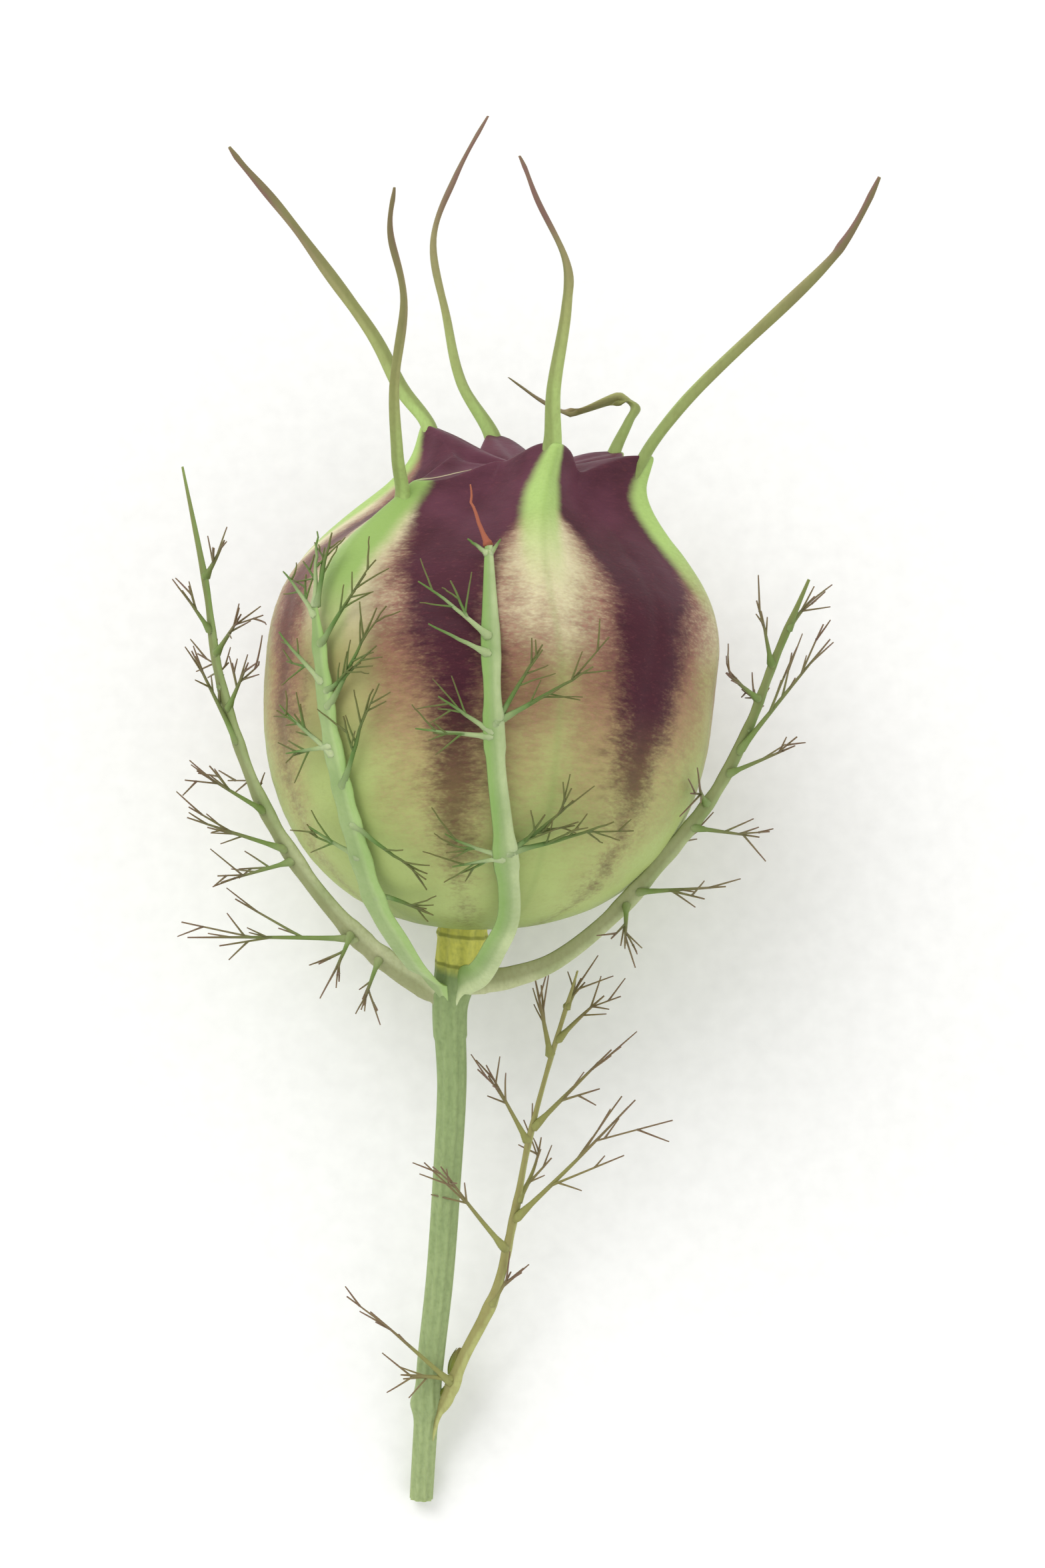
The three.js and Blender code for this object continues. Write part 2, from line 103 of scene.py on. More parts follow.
STEM_LINE = (
    (-1.6, 0.4, -30), (-1.35, 0.3, -26), (-1.05, 0.2, -22), (-0.5, 0.1, -17),
    (-0.1, 0, -11.5), (0.2, 0, -6), (0.1, 0, -1.5), (0.6, 0, 1), (0.9, 0, 2.85),
)
STEM_RADII = (0.68, 0.7, 0.78, 0.8, 0.82, 0.85, 0.95, 1.3, 1.32)
LEAF_NODE = (0.175, 0.25, 0.02)  # place on the stem's line, swelling, length
TOP_RING = 0.955  # place on the stem's line of the ring under the capsule

# ridge, points of the line past the ridge's top, how far under that top the style leaves, and its radius
# low, in the middle and at the tip
STYLES = {
    "style_far_left": (0, ((-2.7, 2.8, 33.6), (-4.5, 3.2, 36.9), (-7.9, 4.2, 41.6), (-10.7, 5, 45),
                           (-12.5, 5.4, 47.3)), 0, (0.47, 0.34, 0.17)),
    "style_front_left": (1, ((-2.6, -6.4, 29.8), (-2.7, -7.2, 33.4), (-2.2, -7.8, 37.9), (-2.8, -8.3, 41.6),
                             (-2.7, -8.6, 44)), 1.6, (0.36, 0.25, 0.15)),
    "style_front": (2, ((5.9, -6.9, 33.4), (6.6, -7.3, 37.6), (6.5, -7.7, 40.3), (5, -8.2, 43.5),
                        (4, -8.6, 45.8)), 0, (0.42, 0.31, 0.16)),
    "style_right": (3, ((12.6, -2, 31.9), (15.4, -2.3, 34.9), (20.8, -2.9, 40), (22, -3.1, 41.6),
                        (23.8, -3.4, 44.9)), 0, (0.48, 0.34, 0.17)),
    "style_bent": (4, ((10.3, 4.6, 31.6), (10.7, 4.9, 32.5), (9.5, 5, 32.9), (7.1, 4.9, 32.2), (5.2, 4.7, 32.8),
                       (3.5, 4.5, 34.2)), 0, (0.42, 0.4, 0.14)),
    "style_back": (5, ((0.7, 6.4, 33.9), (-0.2, 7, 37.7), (-0.9, 7.6, 42), (0.3, 8, 45.8), (2.3, 8.4, 49.2)),
                   0, (0.42, 0.31, 0.16)),
}

THREAD_BOW = 0.12  # of its length
THREAD_POINTS = 2.2  # for each millimetre
FORK_LENGTH = 0.46  # of the thread that it leaves
FORK_SHORTEST = 1.1
FORK_ANGLE = (24, 16)  # least angle from the thread, and the spread above it
TWIG_PLACES = (0.22, 0.62, 0.42, 0.8)  # on the outer part of a thread, in the order in which they are taken
TWIG_LENGTH = (0.9, 1.5)  # least, and the spread above it
TWIG_ANGLE = (0.48, 0.3)  # the same, in radians

OnPod = namedtuple("OnPod", "right up lift")  # a place in front of the capsule, held off it by lift
OnTable = namedtuple("OnTable", "right up lift")  # a place over the table, held off it by lift

# Bracts and the leaf. Threads are rows of (place on the midrib, reach right, back and up, forks). Widths are
# at the base and the tip, and turn is how far a strap faces the front instead of outward.
LEAVES = {
    "bract_right": {
        "base": ((0.1, -0.15, -2.0), (0.7, -0.35, -0.5)),
        "midrib": ((1.9, -0.6, 0.1), (3.6, -1, 0.4), (6.2, -1.8, 1.5), (9.4, -2.6, 4.2), (12.5, -3.1, 7.8),
                   (15, -2.6, 11), (16.9, -1.8, 14.6), (18.4, -1, 18.4), (20.3, -0.4, 22.8)),
        "width": (1.5, 0.4), "thickness": 0.7, "seed": 11, "turn": 1.0, "lies": "free",
        "threads": (
            (0.4, (-0.1, -1.2, -2.3), 2), (0.42, (5, -0.8, 0.4), 1), (0.5, (1, 3.6, 1), 2),
            (0.55, (3.9, 0.5, -0.6), 1), (0.6, (-0.6, -3, 1.4), 1), (0.66, (3.8, -0.8, 1.7), 1),
            (0.7, (5.2, 0.3, 6.4), 3), (0.74, (0.6, 3.2, 2.2), 2), (0.8, (-2, -0.9, 1.6), 1),
            (0.86, (-0.7, -1.2, 3.2), 1), (0.92, (1.6, 0.8, 1.9), 1),
        ),
    },
    "bract_left": {
        "base": ((-0.1, -0.2, -2.5), (-0.55, -0.3, -1.1)),
        "midrib": ((-1.3, -0.3, -0.3), (-3.2, -0.6, 1), (-5.6, -1, 3.2), (-8.3, -1.2, 6.6), (-10.5, -1.2, 10.4),
                   (-12, -1, 14.4), (-13, -0.6, 18.2), (-13.6, -0.2, 22.6), (-14.9, 0.6, 29.1)),
        "width": (1.9, 0.4), "thickness": 0.7, "seed": 31, "turn": 1.0, "lies": "free",
        "threads": (
            (0.16, (-0.9, -1.2, -2.6), 2), (0.22, (-9.6, -1, 0.2), 3), (0.24, (-1.2, -1.5, -2.6), 2),
            (0.39, (-4.2, 0.6, -1.3), 2), (0.41, (-5.6, -0.6, 1.9), 2), (0.48, (-3.8, -0.8, 2.4), 2),
            (0.5, (-1, 3.4, 1.2), 2), (0.6, (-2.6, 0.4, 5.2), 2), (0.66, (1.3, -1.8, 2.8), 2),
            (0.7, (-0.6, 3, 1.8), 2), (0.76, (1.6, -1.4, 2.4), 2), (0.8, (-1.6, -0.4, 2.4), 1),
            (0.88, (1.2, -0.8, 2.2), 1),
        ),
    },
    "bract_front_left": {
        "base": ((-0.1, -0.4, -2.0), (-0.4, -0.85, -0.5)),
        "midrib": ((-0.8, -1.45, 0.2), (-1.6, -3.4, 1.1), (-2.6, -6, 3), OnPod(-3.5, 6.4, 1),
                   OnPod(-4.8, 10.6, 0.65), OnPod(-5.7, 14.6, 0.65), OnPod(-6.1, 17.9, 0.65),
                   OnPod(-6.4, 21.4, 0.8)),
        "width": (1.75, 0.75), "thickness": 0.7, "seed": 53, "turn": 0.9, "lies": "against the pod",
        "threads": (
            (0.43, (3.4, 0, -0.4), 1), (0.5, (-3, 0.6, 1.6), 1), (0.56, (4.4, 0, -2.2), 1),
            (0.62, (2.6, 0, 5.4), 2), (0.68, (-3.6, 1.4, 2.6), 2), (0.7, (-3, 1.4, -0.6), 1),
            (0.78, (3.4, 0, 5), 2), (0.82, (2.8, 0, 1.6), 1), (0.84, (-3.2, 1.6, 2.8), 1),
            (0.92, (2.8, 0, 3.6), 2), (0.98, (-2.9, 1.8, 3), 1), (1, (-0.9, 1, 5), 1),
            (1, (0.4, 0.6, 4.6), 1),
        ),
    },
    "bract_front": {
        "base": ((0.2, -0.45, -1.8), (0.55, -0.95, -0.4)),
        "midrib": ((1, -1.7, 0.3), (1.8, -3.9, 1), (2.6, -6.9, 2.6), OnPod(3.4, 5.8, 1), OnPod(3.2, 9.5, 0.8),
                   OnPod(2.8, 13.5, 0.75), OnPod(2.6, 18.5, 0.75), OnPod(2.5, 24.3, 0.9)),
        "width": (1.7, 0.8), "thickness": 0.7, "seed": 71, "turn": 0, "lies": "against the pod",
        "threads": (
            (0.54, (-3.2, 0, 1.7), 1), (0.54, (-2.9, 0, -0.5), 1), (0.545, (3.4, 0, 3.2), 3),
            (0.55, (6.2, 0, 1.4), 2), (0.765, (-3, 0, 2), 1), (0.76, (-4.3, 0, 0.4), 1),
            (0.775, (2.6, 0, 4.4), 1), (0.78, (5.6, 0, 3), 2), (0.895, (-4, 0, 3.4), 1),
            (0.875, (-3.4, 0, 1.7), 0), (0.99, (-1.2, 0, 1.2), 0), (0.99, (0.6, 0, 1), 0),
            (1, (-1.7, 0.4, 5.3), 0),
        ),
    },
    "bract_back": {
        "base": ((0.1, 0.4, -3.0), (0.4, 0.9, -1.2)),
        "midrib": ((0.8, 1.6, -0.2), (1, 4, 0.8), (1.4, 7.4, 2.8), OnTable(1.8, 6.6, 0.9), OnTable(2, 10, 0.4),
                   OnTable(2.1, 14.5, 0.35), OnTable(2, 21.5, 0.35)),
        "width": (1.4, 0.5), "thickness": 0.7, "seed": 97, "turn": 0, "lies": "on the table",
        "threads": (
            (0.64, (-6.6, 0, 2.4), 2), (0.66, (6.4, 0, 2.6), 2), (0.74, (-8.4, 0, 3.6), 2),
            (0.77, (9.4, 0, 4.4), 2), (0.85, (-7.4, 0, 4.4), 2), (0.87, (11.4, 0, 3.4), 2),
            (0.94, (-4.6, 0, 4.6), 2), (0.95, (5.4, 0, 4.8), 2),
        ),
    },
    "leaf": {
        "base": ((-1.1, 0.1, -27.0), (-0.65, -0.25, -25.0)),
        "midrib": ((-0.1, -0.6, -23.9), (0.9, -0.7, -21.4), (2.7, -0.3, -17.8), (3.8, 0.4, -13.3),
                   (4.6, 1.2, -9.3), (5.8, 2.2, -4.9), (7.4, 3.2, 0.2)),
        "width": (0.9, 0.3), "thickness": 0.55, "seed": 119, "turn": 1.0, "lies": "free",
        "threads": (
            (0.06, (-4.6, -1.8, 4.6), 1), (0.08, (-3, -1.4, 0.6), 1), (0.3, (1.2, 0.5, 1.9), 1),
            (0.42, (-3.7, -2.9, 5.4), 2), (0.48, (7, 1.2, 6.8), 3), (0.52, (1.4, 3.2, 3.2), 2),
            (0.66, (-2.4, -0.6, 4.6), 2), (0.69, (4.6, 1.4, 4.4), 2), (0.84, (-0.9, -0.6, 4.6), 1),
            (0.87, (2.8, 0.6, 2.6), 1), (0.93, (0.9, 1.4, 1.6), 1),
        ),
    },
}


# Half widths in millimetres, or shares, by share of the capsule's height.
DARK_REACH = (
    (0, 0), (0.12, 0), (0.18, 0.25), (0.26, 0.7), (0.36, 1.2), (0.46, 1.8), (0.54, 2.5), (0.62, 2.9),
    (0.76, 3.3), (0.86, 4.2), (1, 8))
BLUSH_REACH = (
    (0, 0), (0.1, 1), (0.22, 3.4), (0.4, 5.4), (0.6, 6.3), (0.7, 5.4), (0.8, 4.5), (0.88, 5), (1, 8))
BLUSH_DEPTH = ((0, 0), (0.12, 0.36), (0.28, 0.56), (0.42, 0.78), (0.55, 1), (1, 1))
RIDGE_REACH = ((0, 0), (0.5, 0.3), (0.66, 0.7), (0.78, 1.0), (0.86, 1.0), (0.93, 0.68), (1, 0.32))

# Tones of the capsule that no setting changes, 0 to 255 as they look.
CAPSULE_TONES = {
    "low blush": (170, 136, 100), "high blush": (134, 82, 72), "blush streaks": (108, 58, 56),
    "pink": (196, 142, 126), "low band": (90, 62, 42), "band streaks": (50, 20, 30),
    "red brown": (116, 62, 66), "violet": (120, 70, 88),
    "ridge grain": (146, 176, 96), "greener ridge": (140, 170, 92), "ridge line": (128, 152, 84),
    # base is painted shade: a darker olive for the capsule's lowest part, where it curves under towards the
    # receptacle
    "olive": (136, 142, 78), "base": (118, 138, 62),
}


def lay_tilt(settings):
    """How far the stem climbs as the pod lies on the bract under its belly and on the stem's cut end."""
    reach = settings.radius / MM + 1.0
    rise = POD_BASE[1] + settings.widest / MM - STEM_LINE[0][2]
    return math.asin((reach - STEM_LINE[0][1] - STEM_RADII[0]) / rise)


def at(right, back, up):
    return Vector((right, back, up)) * MM


def mix(a, b, t):
    return a + (b - a) * t


def chance(seed, place):
    """A repeatable number from 0 to 1 for a seed and a place in the plant."""
    wave = math.sin(seed * 12.9898 + place * 78.233) * 43758.5453
    return wave - math.floor(wave)


def bell(x, width):
    """1 at 0, falling off smoothly over the width on both sides."""
    return math.exp(-((x / width) ** 2))


def along_line(points, t):
    """Point at t (0 to 1) on the smooth line through the points, each stretch taking an equal share of t."""
    stretches = len(points) - 1
    place = min(max(t, 0), 1) * stretches
    i = min(int(place), stretches - 1)
    s = place - i
    before = points[i - 1] if i > 0 else 2 * points[0] - points[1]
    after = points[i + 2] if i + 2 <= stretches else 2 * points[-1] - points[-2]
    p, q = points[i], points[i + 1]
    start, end = 0.5 * (q - before), 0.5 * (after - p)
    return (
        (2 * s**3 - 3 * s**2 + 1) * p + (s**3 - 2 * s**2 + s) * start
        + (3 * s**2 - 2 * s**3) * q + (s**3 - s**2) * end
    )


def evenly(points, steps):
    """Points at equal steps along the smooth line through the points."""
    return [along_line(points, i / steps) for i in range(steps + 1)]


# ------------------------------------------------------------------ arithmetic in node trees


def plug(tree, value, socket):
    """Links a Term or a socket, or sets a plain value."""
    if isinstance(value, Term):
        value = value.socket
    if isinstance(value, bpy.types.NodeSocket):
        tree.links.new(value, socket)
    else:
        socket.default_value = value


def add_node(tree, kind, inputs=(), **choices):
    """A new node with its choices made, and its inputs, by name or number, linked or set."""
    node = tree.nodes.new(kind)
    for name, value in choices.items():
        setattr(node, name, value)
    for key, value in dict(inputs).items():
        plug(tree, value, node.inputs[key])
    return node


class Term:
    """A number inside a node tree that adds, multiplies and so on, one Math node for each step."""

    def __init__(self, tree, socket):
        self.tree = tree
        self.socket = socket

    def do(self, operation, *others):
        node = add_node(self.tree, "ShaderNodeMath", enumerate((self, *others)), operation=operation)
        return Term(self.tree, node.outputs[0])

    def __add__(self, other):
        return self.do("ADD", other)

    def __sub__(self, other):
        return self.do("SUBTRACT", other)

    def __rsub__(self, other):
        return self.do("MULTIPLY", -1.0).do("ADD", other)

    def __mul__(self, other):
        return self.do("MULTIPLY", other)

    def __truediv__(self, other):
        return self.do("DIVIDE", other)

    def __pow__(self, other):
        return self.do("MAXIMUM", 0.0).do("POWER", other)

    __radd__, __rmul__ = __add__, __mul__

    def bell(self, width):
        """1 up to 0, then falling off smoothly over the width."""
        return ((self / width) ** 2 * -1).do("EXPONENT")

    def blend_to(self, other, share):
        """This value where share is 0, the other where it is 1."""
        return self + (other - self) * share

    def ramp(self, low, high, smooth=False):
        """0 at low and 1 at high, held past them."""
        node = add_node(
            self.tree, "ShaderNodeMapRange", {"Value": self, "From Min": low, "From Max": high},
            interpolation_type="SMOOTHSTEP" if smooth else "LINEAR")
        return Term(self.tree, node.outputs["Result"])


def vector_of(tree, *parts):
    return add_node(tree, "ShaderNodeCombineXYZ", enumerate(parts)).outputs[0]


def parts_of(tree, vector):
    return [Term(tree, socket) for socket in add_node(tree, "ShaderNodeSeparateXYZ", {0: vector}).outputs]


def noise(tree, vector, scale, detail=2.0, roughness=0.5):
    node = add_node(
        tree, "ShaderNodeTexNoise",
        {"Vector": vector, "Scale": scale, "Detail": detail, "Roughness": roughness})
    return Term(tree, node.outputs[0])


# ------------------------------------------------------------------ geometry trees


def tree_with(name, inputs):
    """A geometry tree with named inputs: (name, socket type, default)."""
    tree = bpy.data.node_groups.new(name, "GeometryNodeTree")
    tree.interface.new_socket("Geometry", in_out="INPUT", socket_type="NodeSocketGeometry")
    for label, kind, default in inputs:
        socket = tree.interface.new_socket(label, in_out="INPUT", socket_type=kind)
        if default is not None:
            socket.default_value = default
    tree.interface.new_socket("Geometry", in_out="OUTPUT", socket_type="NodeSocketGeometry")
    return tree, tree.nodes.new("NodeGroupInput"), tree.nodes.new("NodeGroupOutput")


def store(tree, geometry, name, value, kind="FLOAT"):
    """Keeps a value for every point of the geometry under a name."""
    node = add_node(
        tree, "GeometryNodeStoreNamedAttribute", {"Geometry": geometry, "Name": name},
        data_type=kind, domain="POINT")
    plug(tree, value, node.inputs["Value"])
    return node.outputs[0]


def kept(tree, name, kind="FLOAT"):
    """The value that the geometry carries under a name."""
    return add_node(tree, "GeometryNodeInputNamedAttribute", {"Name": name}, data_type=kind).outputs[0]


def moved(tree, geometry, **where):
    """The geometry at a new Position, or moved by an Offset."""
    return add_node(tree, "GeometryNodeSetPosition", {"Geometry": geometry, **where}).outputs[0]


def finish_tree(tree, geometry, group_in, group_out):
    """Smooth shading, real geometry and the material at the end of every tree."""
    smooth = add_node(tree, "GeometryNodeSetShadeSmooth", {"Geometry": geometry})
    realize = add_node(tree, "GeometryNodeRealizeInstances", {"Geometry": smooth.outputs[0]})
    paint = add_node(tree, "GeometryNodeSetMaterial", {
        "Geometry": realize.outputs[0], "Material": group_in.outputs["Material"]})
    tree.links.new(paint.outputs[0], group_out.inputs["Geometry"])


def grown(name, mesh, tree, values):
    """The plain mesh that a tree makes from a mesh, with its inputs set by their identifiers."""
    thing = bpy.data.objects.new(name, mesh)
    bpy.context.scene.collection.objects.link(thing)
    modifier = thing.modifiers.new(tree.name, "NODES")
    modifier.node_group = tree
    for item in tree.interface.items_tree:
        if item.item_type == "SOCKET" and item.in_out == "INPUT" and item.name in values:
            modifier[item.identifier] = values[item.name]
    bpy.context.view_layer.update()
    graph = bpy.context.evaluated_depsgraph_get()
    result = bpy.data.meshes.new_from_object(
        thing.evaluated_get(graph), preserve_all_data_layers=True, depsgraph=graph)
    thing.modifiers.clear()
    bpy.data.objects.remove(thing)
    if not result.polygons:
        raise RuntimeError(f"{name}: the tree {tree.name} made no faces")
    return result


def capsule_tree():
    """The capsule's rule: a round profile, flutes between the ridges, keels on them and a hollow crown."""
    number, whole = "NodeSocketFloat", "NodeSocketInt"
    tree, group_in, group_out = tree_with("capsule surface", (
        ("Height", number, 0.0275), ("Radius", number, 0.01275), ("Widest", number, 0.0135),
        ("Neck", number, 0.0061), ("Lean", number, 0.0031), ("Tilt", number, 8.0),
        ("Crown Flute", number, 0.3), ("Suture Groove", number, 0.012), ("Keel", number, 0.0008),
        ("Scallop", number, 0.0013), ("Hollow", number, 0.0015), ("Short Drop", number, 0.003),
        ("Wrinkles", number, 0.00005), ("Around", whole, 360), ("Rows", whole, 200),
        ("Material", "NodeSocketMaterial", None),
    ))

    def given(name):
        return Term(tree, group_in.outputs[name])

    tall, girth, widest, neck = (given(name) for name in ("Height", "Radius", "Widest", "Neck"))
    grid = add_node(tree, "GeometryNodeMeshGrid", {
        "Size X": 1, "Size Y": 1, "Vertices X": given("Around") + 1, "Vertices Y": given("Rows") + 1})
    sheet = store(tree, grid.outputs["Mesh"], "sheet", grid.outputs["UV Map"], "FLOAT_VECTOR")
    across, upward, _ = parts_of(tree, kept(tree, "sheet", "FLOAT_VECTOR"))

    # Where a point lies round the capsule.
    azimuth = across * 360 + RIDGES[0]
    ridges = (*RIDGES, RIDGES[0] + 360)
    steps = [azimuth.ramp(low, high) for low, high in zip(ridges, ridges[1:])]
    place = sum(steps[1:], steps[0])
    suture = 0.5 - 0.5 * (place.do("FRACT") * math.tau).do("COSINE")
    short = (place - SHORT_RIDGE).do("ABSOLUTE").do("LESS_THAN", 0.5) * (1 - suture)
    rim = tall - given("Scallop") * suture - given("Short Drop") * short

    # Height and mean radius, the side first and then the crown.
    side = upward.ramp(0, SIDE_SHARE)
    inward = upward.ramp(SIDE_SHARE, 1)
    height = rim * side ** (2 - side)
    low = girth * (1 - (1 - height / widest) ** LOWER_CURVE[0]) ** LOWER_CURVE[1]
    rise = ((height - widest) / ((tall - widest) * UPPER_CURVE[0])).do("MINIMUM", 1)
    high = neck + (girth - neck) * (0.5 + 0.5 * (rise ** UPPER_CURVE[1] * math.pi).do("COSINE"))
    mean = high.blend_to(low, height.do("LESS_THAN", widest))
    share_up = height / tall

    # How far round a point is from the nearest ridge and the nearest seam, which drift as they climb.
    climb = share_up.ramp(0.5, 0.85, True)

    def nearest(low_places, high_places):
        gap = None
        for low_place, high_place in zip(low_places, high_places):
            off = (azimuth - (climb * (high_place - low_place) + low_place)).do("ABSOLUTE")
            gap = gap.do("MINIMUM", off) if gap else off
        return mean * gap * DEGREE

    from_ridge = nearest((*BELLY_RIDGES, BELLY_RIDGES[0] + 360), ridges)
    from_seam = nearest(BELLY_SEAMS, SEAMS)

    # Flutes, keels, a fine line on each keel and a fine groove in each seam.
    flute = given("Suture Groove").blend_to(given("Crown Flute"), share_up.ramp(0.68, 1, True))
    fade = share_up.ramp(0.45, 0.95, True)
    wide, narrow = KEEL_WIDTH
    keel = given("Keel") * fade * from_ridge.bell(wide * MM - fade * ((wide - narrow) * MM))
    (line_height, line_width), (seam_depth, seam_width) = KEEL_LINE, SEAM_LINE
    keel = keel + line_height * MM * share_up.ramp(0.1, 0.3, True) * from_ridge.bell(line_width * MM)
    seam = seam_depth * MM * from_seam.bell(seam_width * MM)
    radius = (mean * (1 - flute * suture) + keel - seam) * (1 - inward ** CROWN_POWER)
    hollow = (rim - tall + given("Hollow")) * inward.ramp(0, 1, True)
    fold = CROWN_FOLD * MM * suture ** 6 * (inward * (1 - inward) * 4)
    level = height - hollow - fold

    # The level's middle drifts to the right and the level tips the same way.
    tilt = given("Tilt") * DEGREE * (level / tall)
    middle = POD_BASE[0] * MM + given("Lean") * (level / tall) ** LEAN_POWER
    turn = azimuth * DEGREE
    right = radius * turn.do("SINE")
    back = radius * turn.do("COSINE") * -1
    geometry = moved(tree, sheet, Position=vector_of(
        tree, middle + right * tilt.do("COSINE"), back, POD_BASE[1] * MM + level - right * tilt.do("SINE")))

    def by_carpel(values, shift):
        """A value for each carpel, changing over shift past its ridge."""
        value = place * 0 + values[0]
        for i, (before, after) in enumerate(zip(values, (*values[1:], values[0]))):
            value = value + place.ramp(i + shift - 0.001, i + shift + 0.001) * (after - before)
        return value

    for name, value in (
        ("from_seam", from_seam / MM), ("from_ridge", from_ridge / MM), ("suture", suture), ("up", share_up),
        ("crown", inward), ("band", by_carpel(BANDS, 1)), ("green", by_carpel(GREENNESS, 0.5)),
    ):
        geometry = store(tree, geometry, name, value)

    # One closed skin, its rim and keels rounded, then fine wrinkles across it.
    weld = add_node(tree, "GeometryNodeMergeByDistance", {"Geometry": geometry, "Distance": 0.002 * MM})
    position = tree.nodes.new("GeometryNodeInputPosition").outputs[0]
    blur = add_node(tree, "GeometryNodeBlurAttribute", {"Iterations": 5}, data_type="FLOAT_VECTOR")
    plug(tree, position, next(socket for socket in blur.inputs if socket.type == "VECTOR"))
    soft = moved(tree, weld.outputs[0], Position=blur.outputs[0])
    x, y, z = parts_of(tree, position)
    folds = noise(tree, vector_of(tree, x * 260, y * 260, z * 1500), 1.0, 3.0) - 0.5
    swells = noise(tree, vector_of(tree, x * 420, y * 420, z * 420), 1.0, 1.0) - 0.5
    relief = given("Wrinkles") * (folds * (0.5 + 1.5 * Term(tree, kept(tree, "suture"))) + swells * 2.0)
    normal = parts_of(tree, tree.nodes.new("GeometryNodeInputNormal").outputs[0])
    wrinkled = moved(tree, soft, Offset=vector_of(tree, *(part * relief for part in normal)))
    finish_tree(tree, wrinkled, group_in, group_out)
    return tree


def sweep_tree():
    """Follows every line of a mesh with a section: round for threads, flat and hollowed for straps.

    The lines carry thickness, along, order, flat and outward at each of their points.
    """
    number, whole = "NodeSocketFloat", "NodeSocketInt"
    tree, group_in, group_out = tree_with("sweep along lines", (
        ("Sides", whole, 7), ("Flat Sides", whole, 14), ("Flatness", number, 0.45), ("Channel", number, 0.18),
        ("Ribs", whole, 0), ("Rib Depth", number, 0.0), ("Material", "NodeSocketMaterial", None),
    ))

    def given(name):
        return Term(tree, group_in.outputs[name])

    def section(sides, flat):
        circle = add_node(tree, "GeometryNodeCurvePrimitiveCircle", {"Resolution": given(sides), "Radius": 1.0})
        x, y, _ = parts_of(tree, tree.nodes.new("GeometryNodeInputPosition").outputs[0])
        rib = 1 + given("Rib Depth") * (y.do("ARCTAN2", x) * given("Ribs")).do("COSINE")
        thick, wide = x * rib, y * rib
        if flat:
            channel = given("Channel") * y.bell(CHANNEL_WIDTH)
            thick = thick * given("Flatness") - channel * x.do("GREATER_THAN", 0.0)
        # groove marks the middle of a strap's section, down which painted shade is laid
        outline = store(tree, circle.outputs["Curve"], "groove", y.bell(GROOVE_SHADE_WIDTH) if flat else 0.0)
        outline = store(tree, outline, "side", y if flat else 0.0)
        return moved(tree, outline, Position=vector_of(tree, thick, wide, 0.0))

    def sweep(lines, sides, flat):
        curve = add_node(tree, "GeometryNodeMeshToCurve", {"Mesh": lines})
        turned = add_node(
            tree, "GeometryNodeSetCurveNormal", {"Curve": curve.outputs[0]},
            mode="FREE" if flat else "MINIMUM_TWIST")
        if flat:
            plug(tree, kept(tree, "outward", "FLOAT_VECTOR"), turned.inputs["Normal"])
        return add_node(tree, "GeometryNodeCurveToMesh", {
            "Curve": turned.outputs[0], "Profile Curve": section(sides, flat), "Scale": kept(tree, "thickness"),
            "Fill Caps": True}).outputs[0]

    split = add_node(tree, "GeometryNodeSeparateGeometry", {
        "Geometry": group_in.outputs["Geometry"],
        "Selection": Term(tree, kept(tree, "flat")).do("GREATER_THAN", 0.5)}, domain="POINT")
    join = tree.nodes.new("GeometryNodeJoinGeometry")
    for lines, sides, flat in ((split.outputs[0], "Flat Sides", True), (split.outputs[1], "Sides", False)):
        tree.links.new(sweep(lines, sides, flat), join.inputs[0])
    finish_tree(tree, join.outputs[0], group_in, group_out)
    return tree


class Lines:
    """Gathers the lines that a sweep follows, with what each of their points carries."""

    def __init__(self):
        self.points, self.edges, self.carried = [], [], []

    def add(self, points, thickness, order=0, flat=False, outward=None, start=0.0, end=1.0):
        """thickness(t) is the half width at t; start and end place the line on its plant from root to tip."""
        first, last = len(self.points), len(points) - 1
        for i, point in enumerate(points):
            t = i / last
            facing = outward(point, t) if outward else Vector((0, 0, 1))
            self.points.append(point)
            self.carried.append((thickness(t), mix(start, end, t), order, float(flat), facing))
            if i:
                self.edges.append((first + i - 1, first + i))

    def mesh(self, name):
        mesh = bpy.data.meshes.new(name)
        mesh.from_pydata(self.points, self.edges, [])
        for column, label in enumerate(("thickness", "along", "order", "flat")):
            attribute = mesh.attributes.new(label, "FLOAT", "POINT")
            attribute.data.foreach_set("value", [row[column] for row in self.carried])
        outward = mesh.attributes.new("outward", "FLOAT_VECTOR", "POINT")
        outward.data.foreach_set("vector", [c for row in self.carried for c in row[4]])
        return mesh


# ------------------------------------------------------------------ placing pieces

POD = {}  # the capsule's surface, its beaks and where the plant lies, once the capsule is made


def make_piece(name, mesh, slot, *nodes):
    """Lays a mesh of the growing plant down as a piece that stands for its CAD nodes."""
    mesh.transform(POD["lay"])
    shell = bmesh.new()
    shell.from_mesh(mesh)
    bmesh.ops.remove_doubles(shell, verts=shell.verts, dist=1e-7)
    bmesh.ops.recalc_face_normals(shell, faces=shell.faces)
    shell.to_mesh(mesh)
    shell.free()
    mesh.name = name
    piece = bpy.data.objects.new(name, mesh)
    bpy.context.scene.collection.objects.link(piece)
    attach(piece, "root")
    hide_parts(*nodes)


def sweep_piece(name, lines, slot, values):
    """Sweeps lines into the piece that stands for one CAD node."""
    tree = bpy.data.node_groups.get("sweep along lines") or sweep_tree()
    make_piece(name + "_skin", grown(name, lines.mesh(name), tree, values), slot, name)


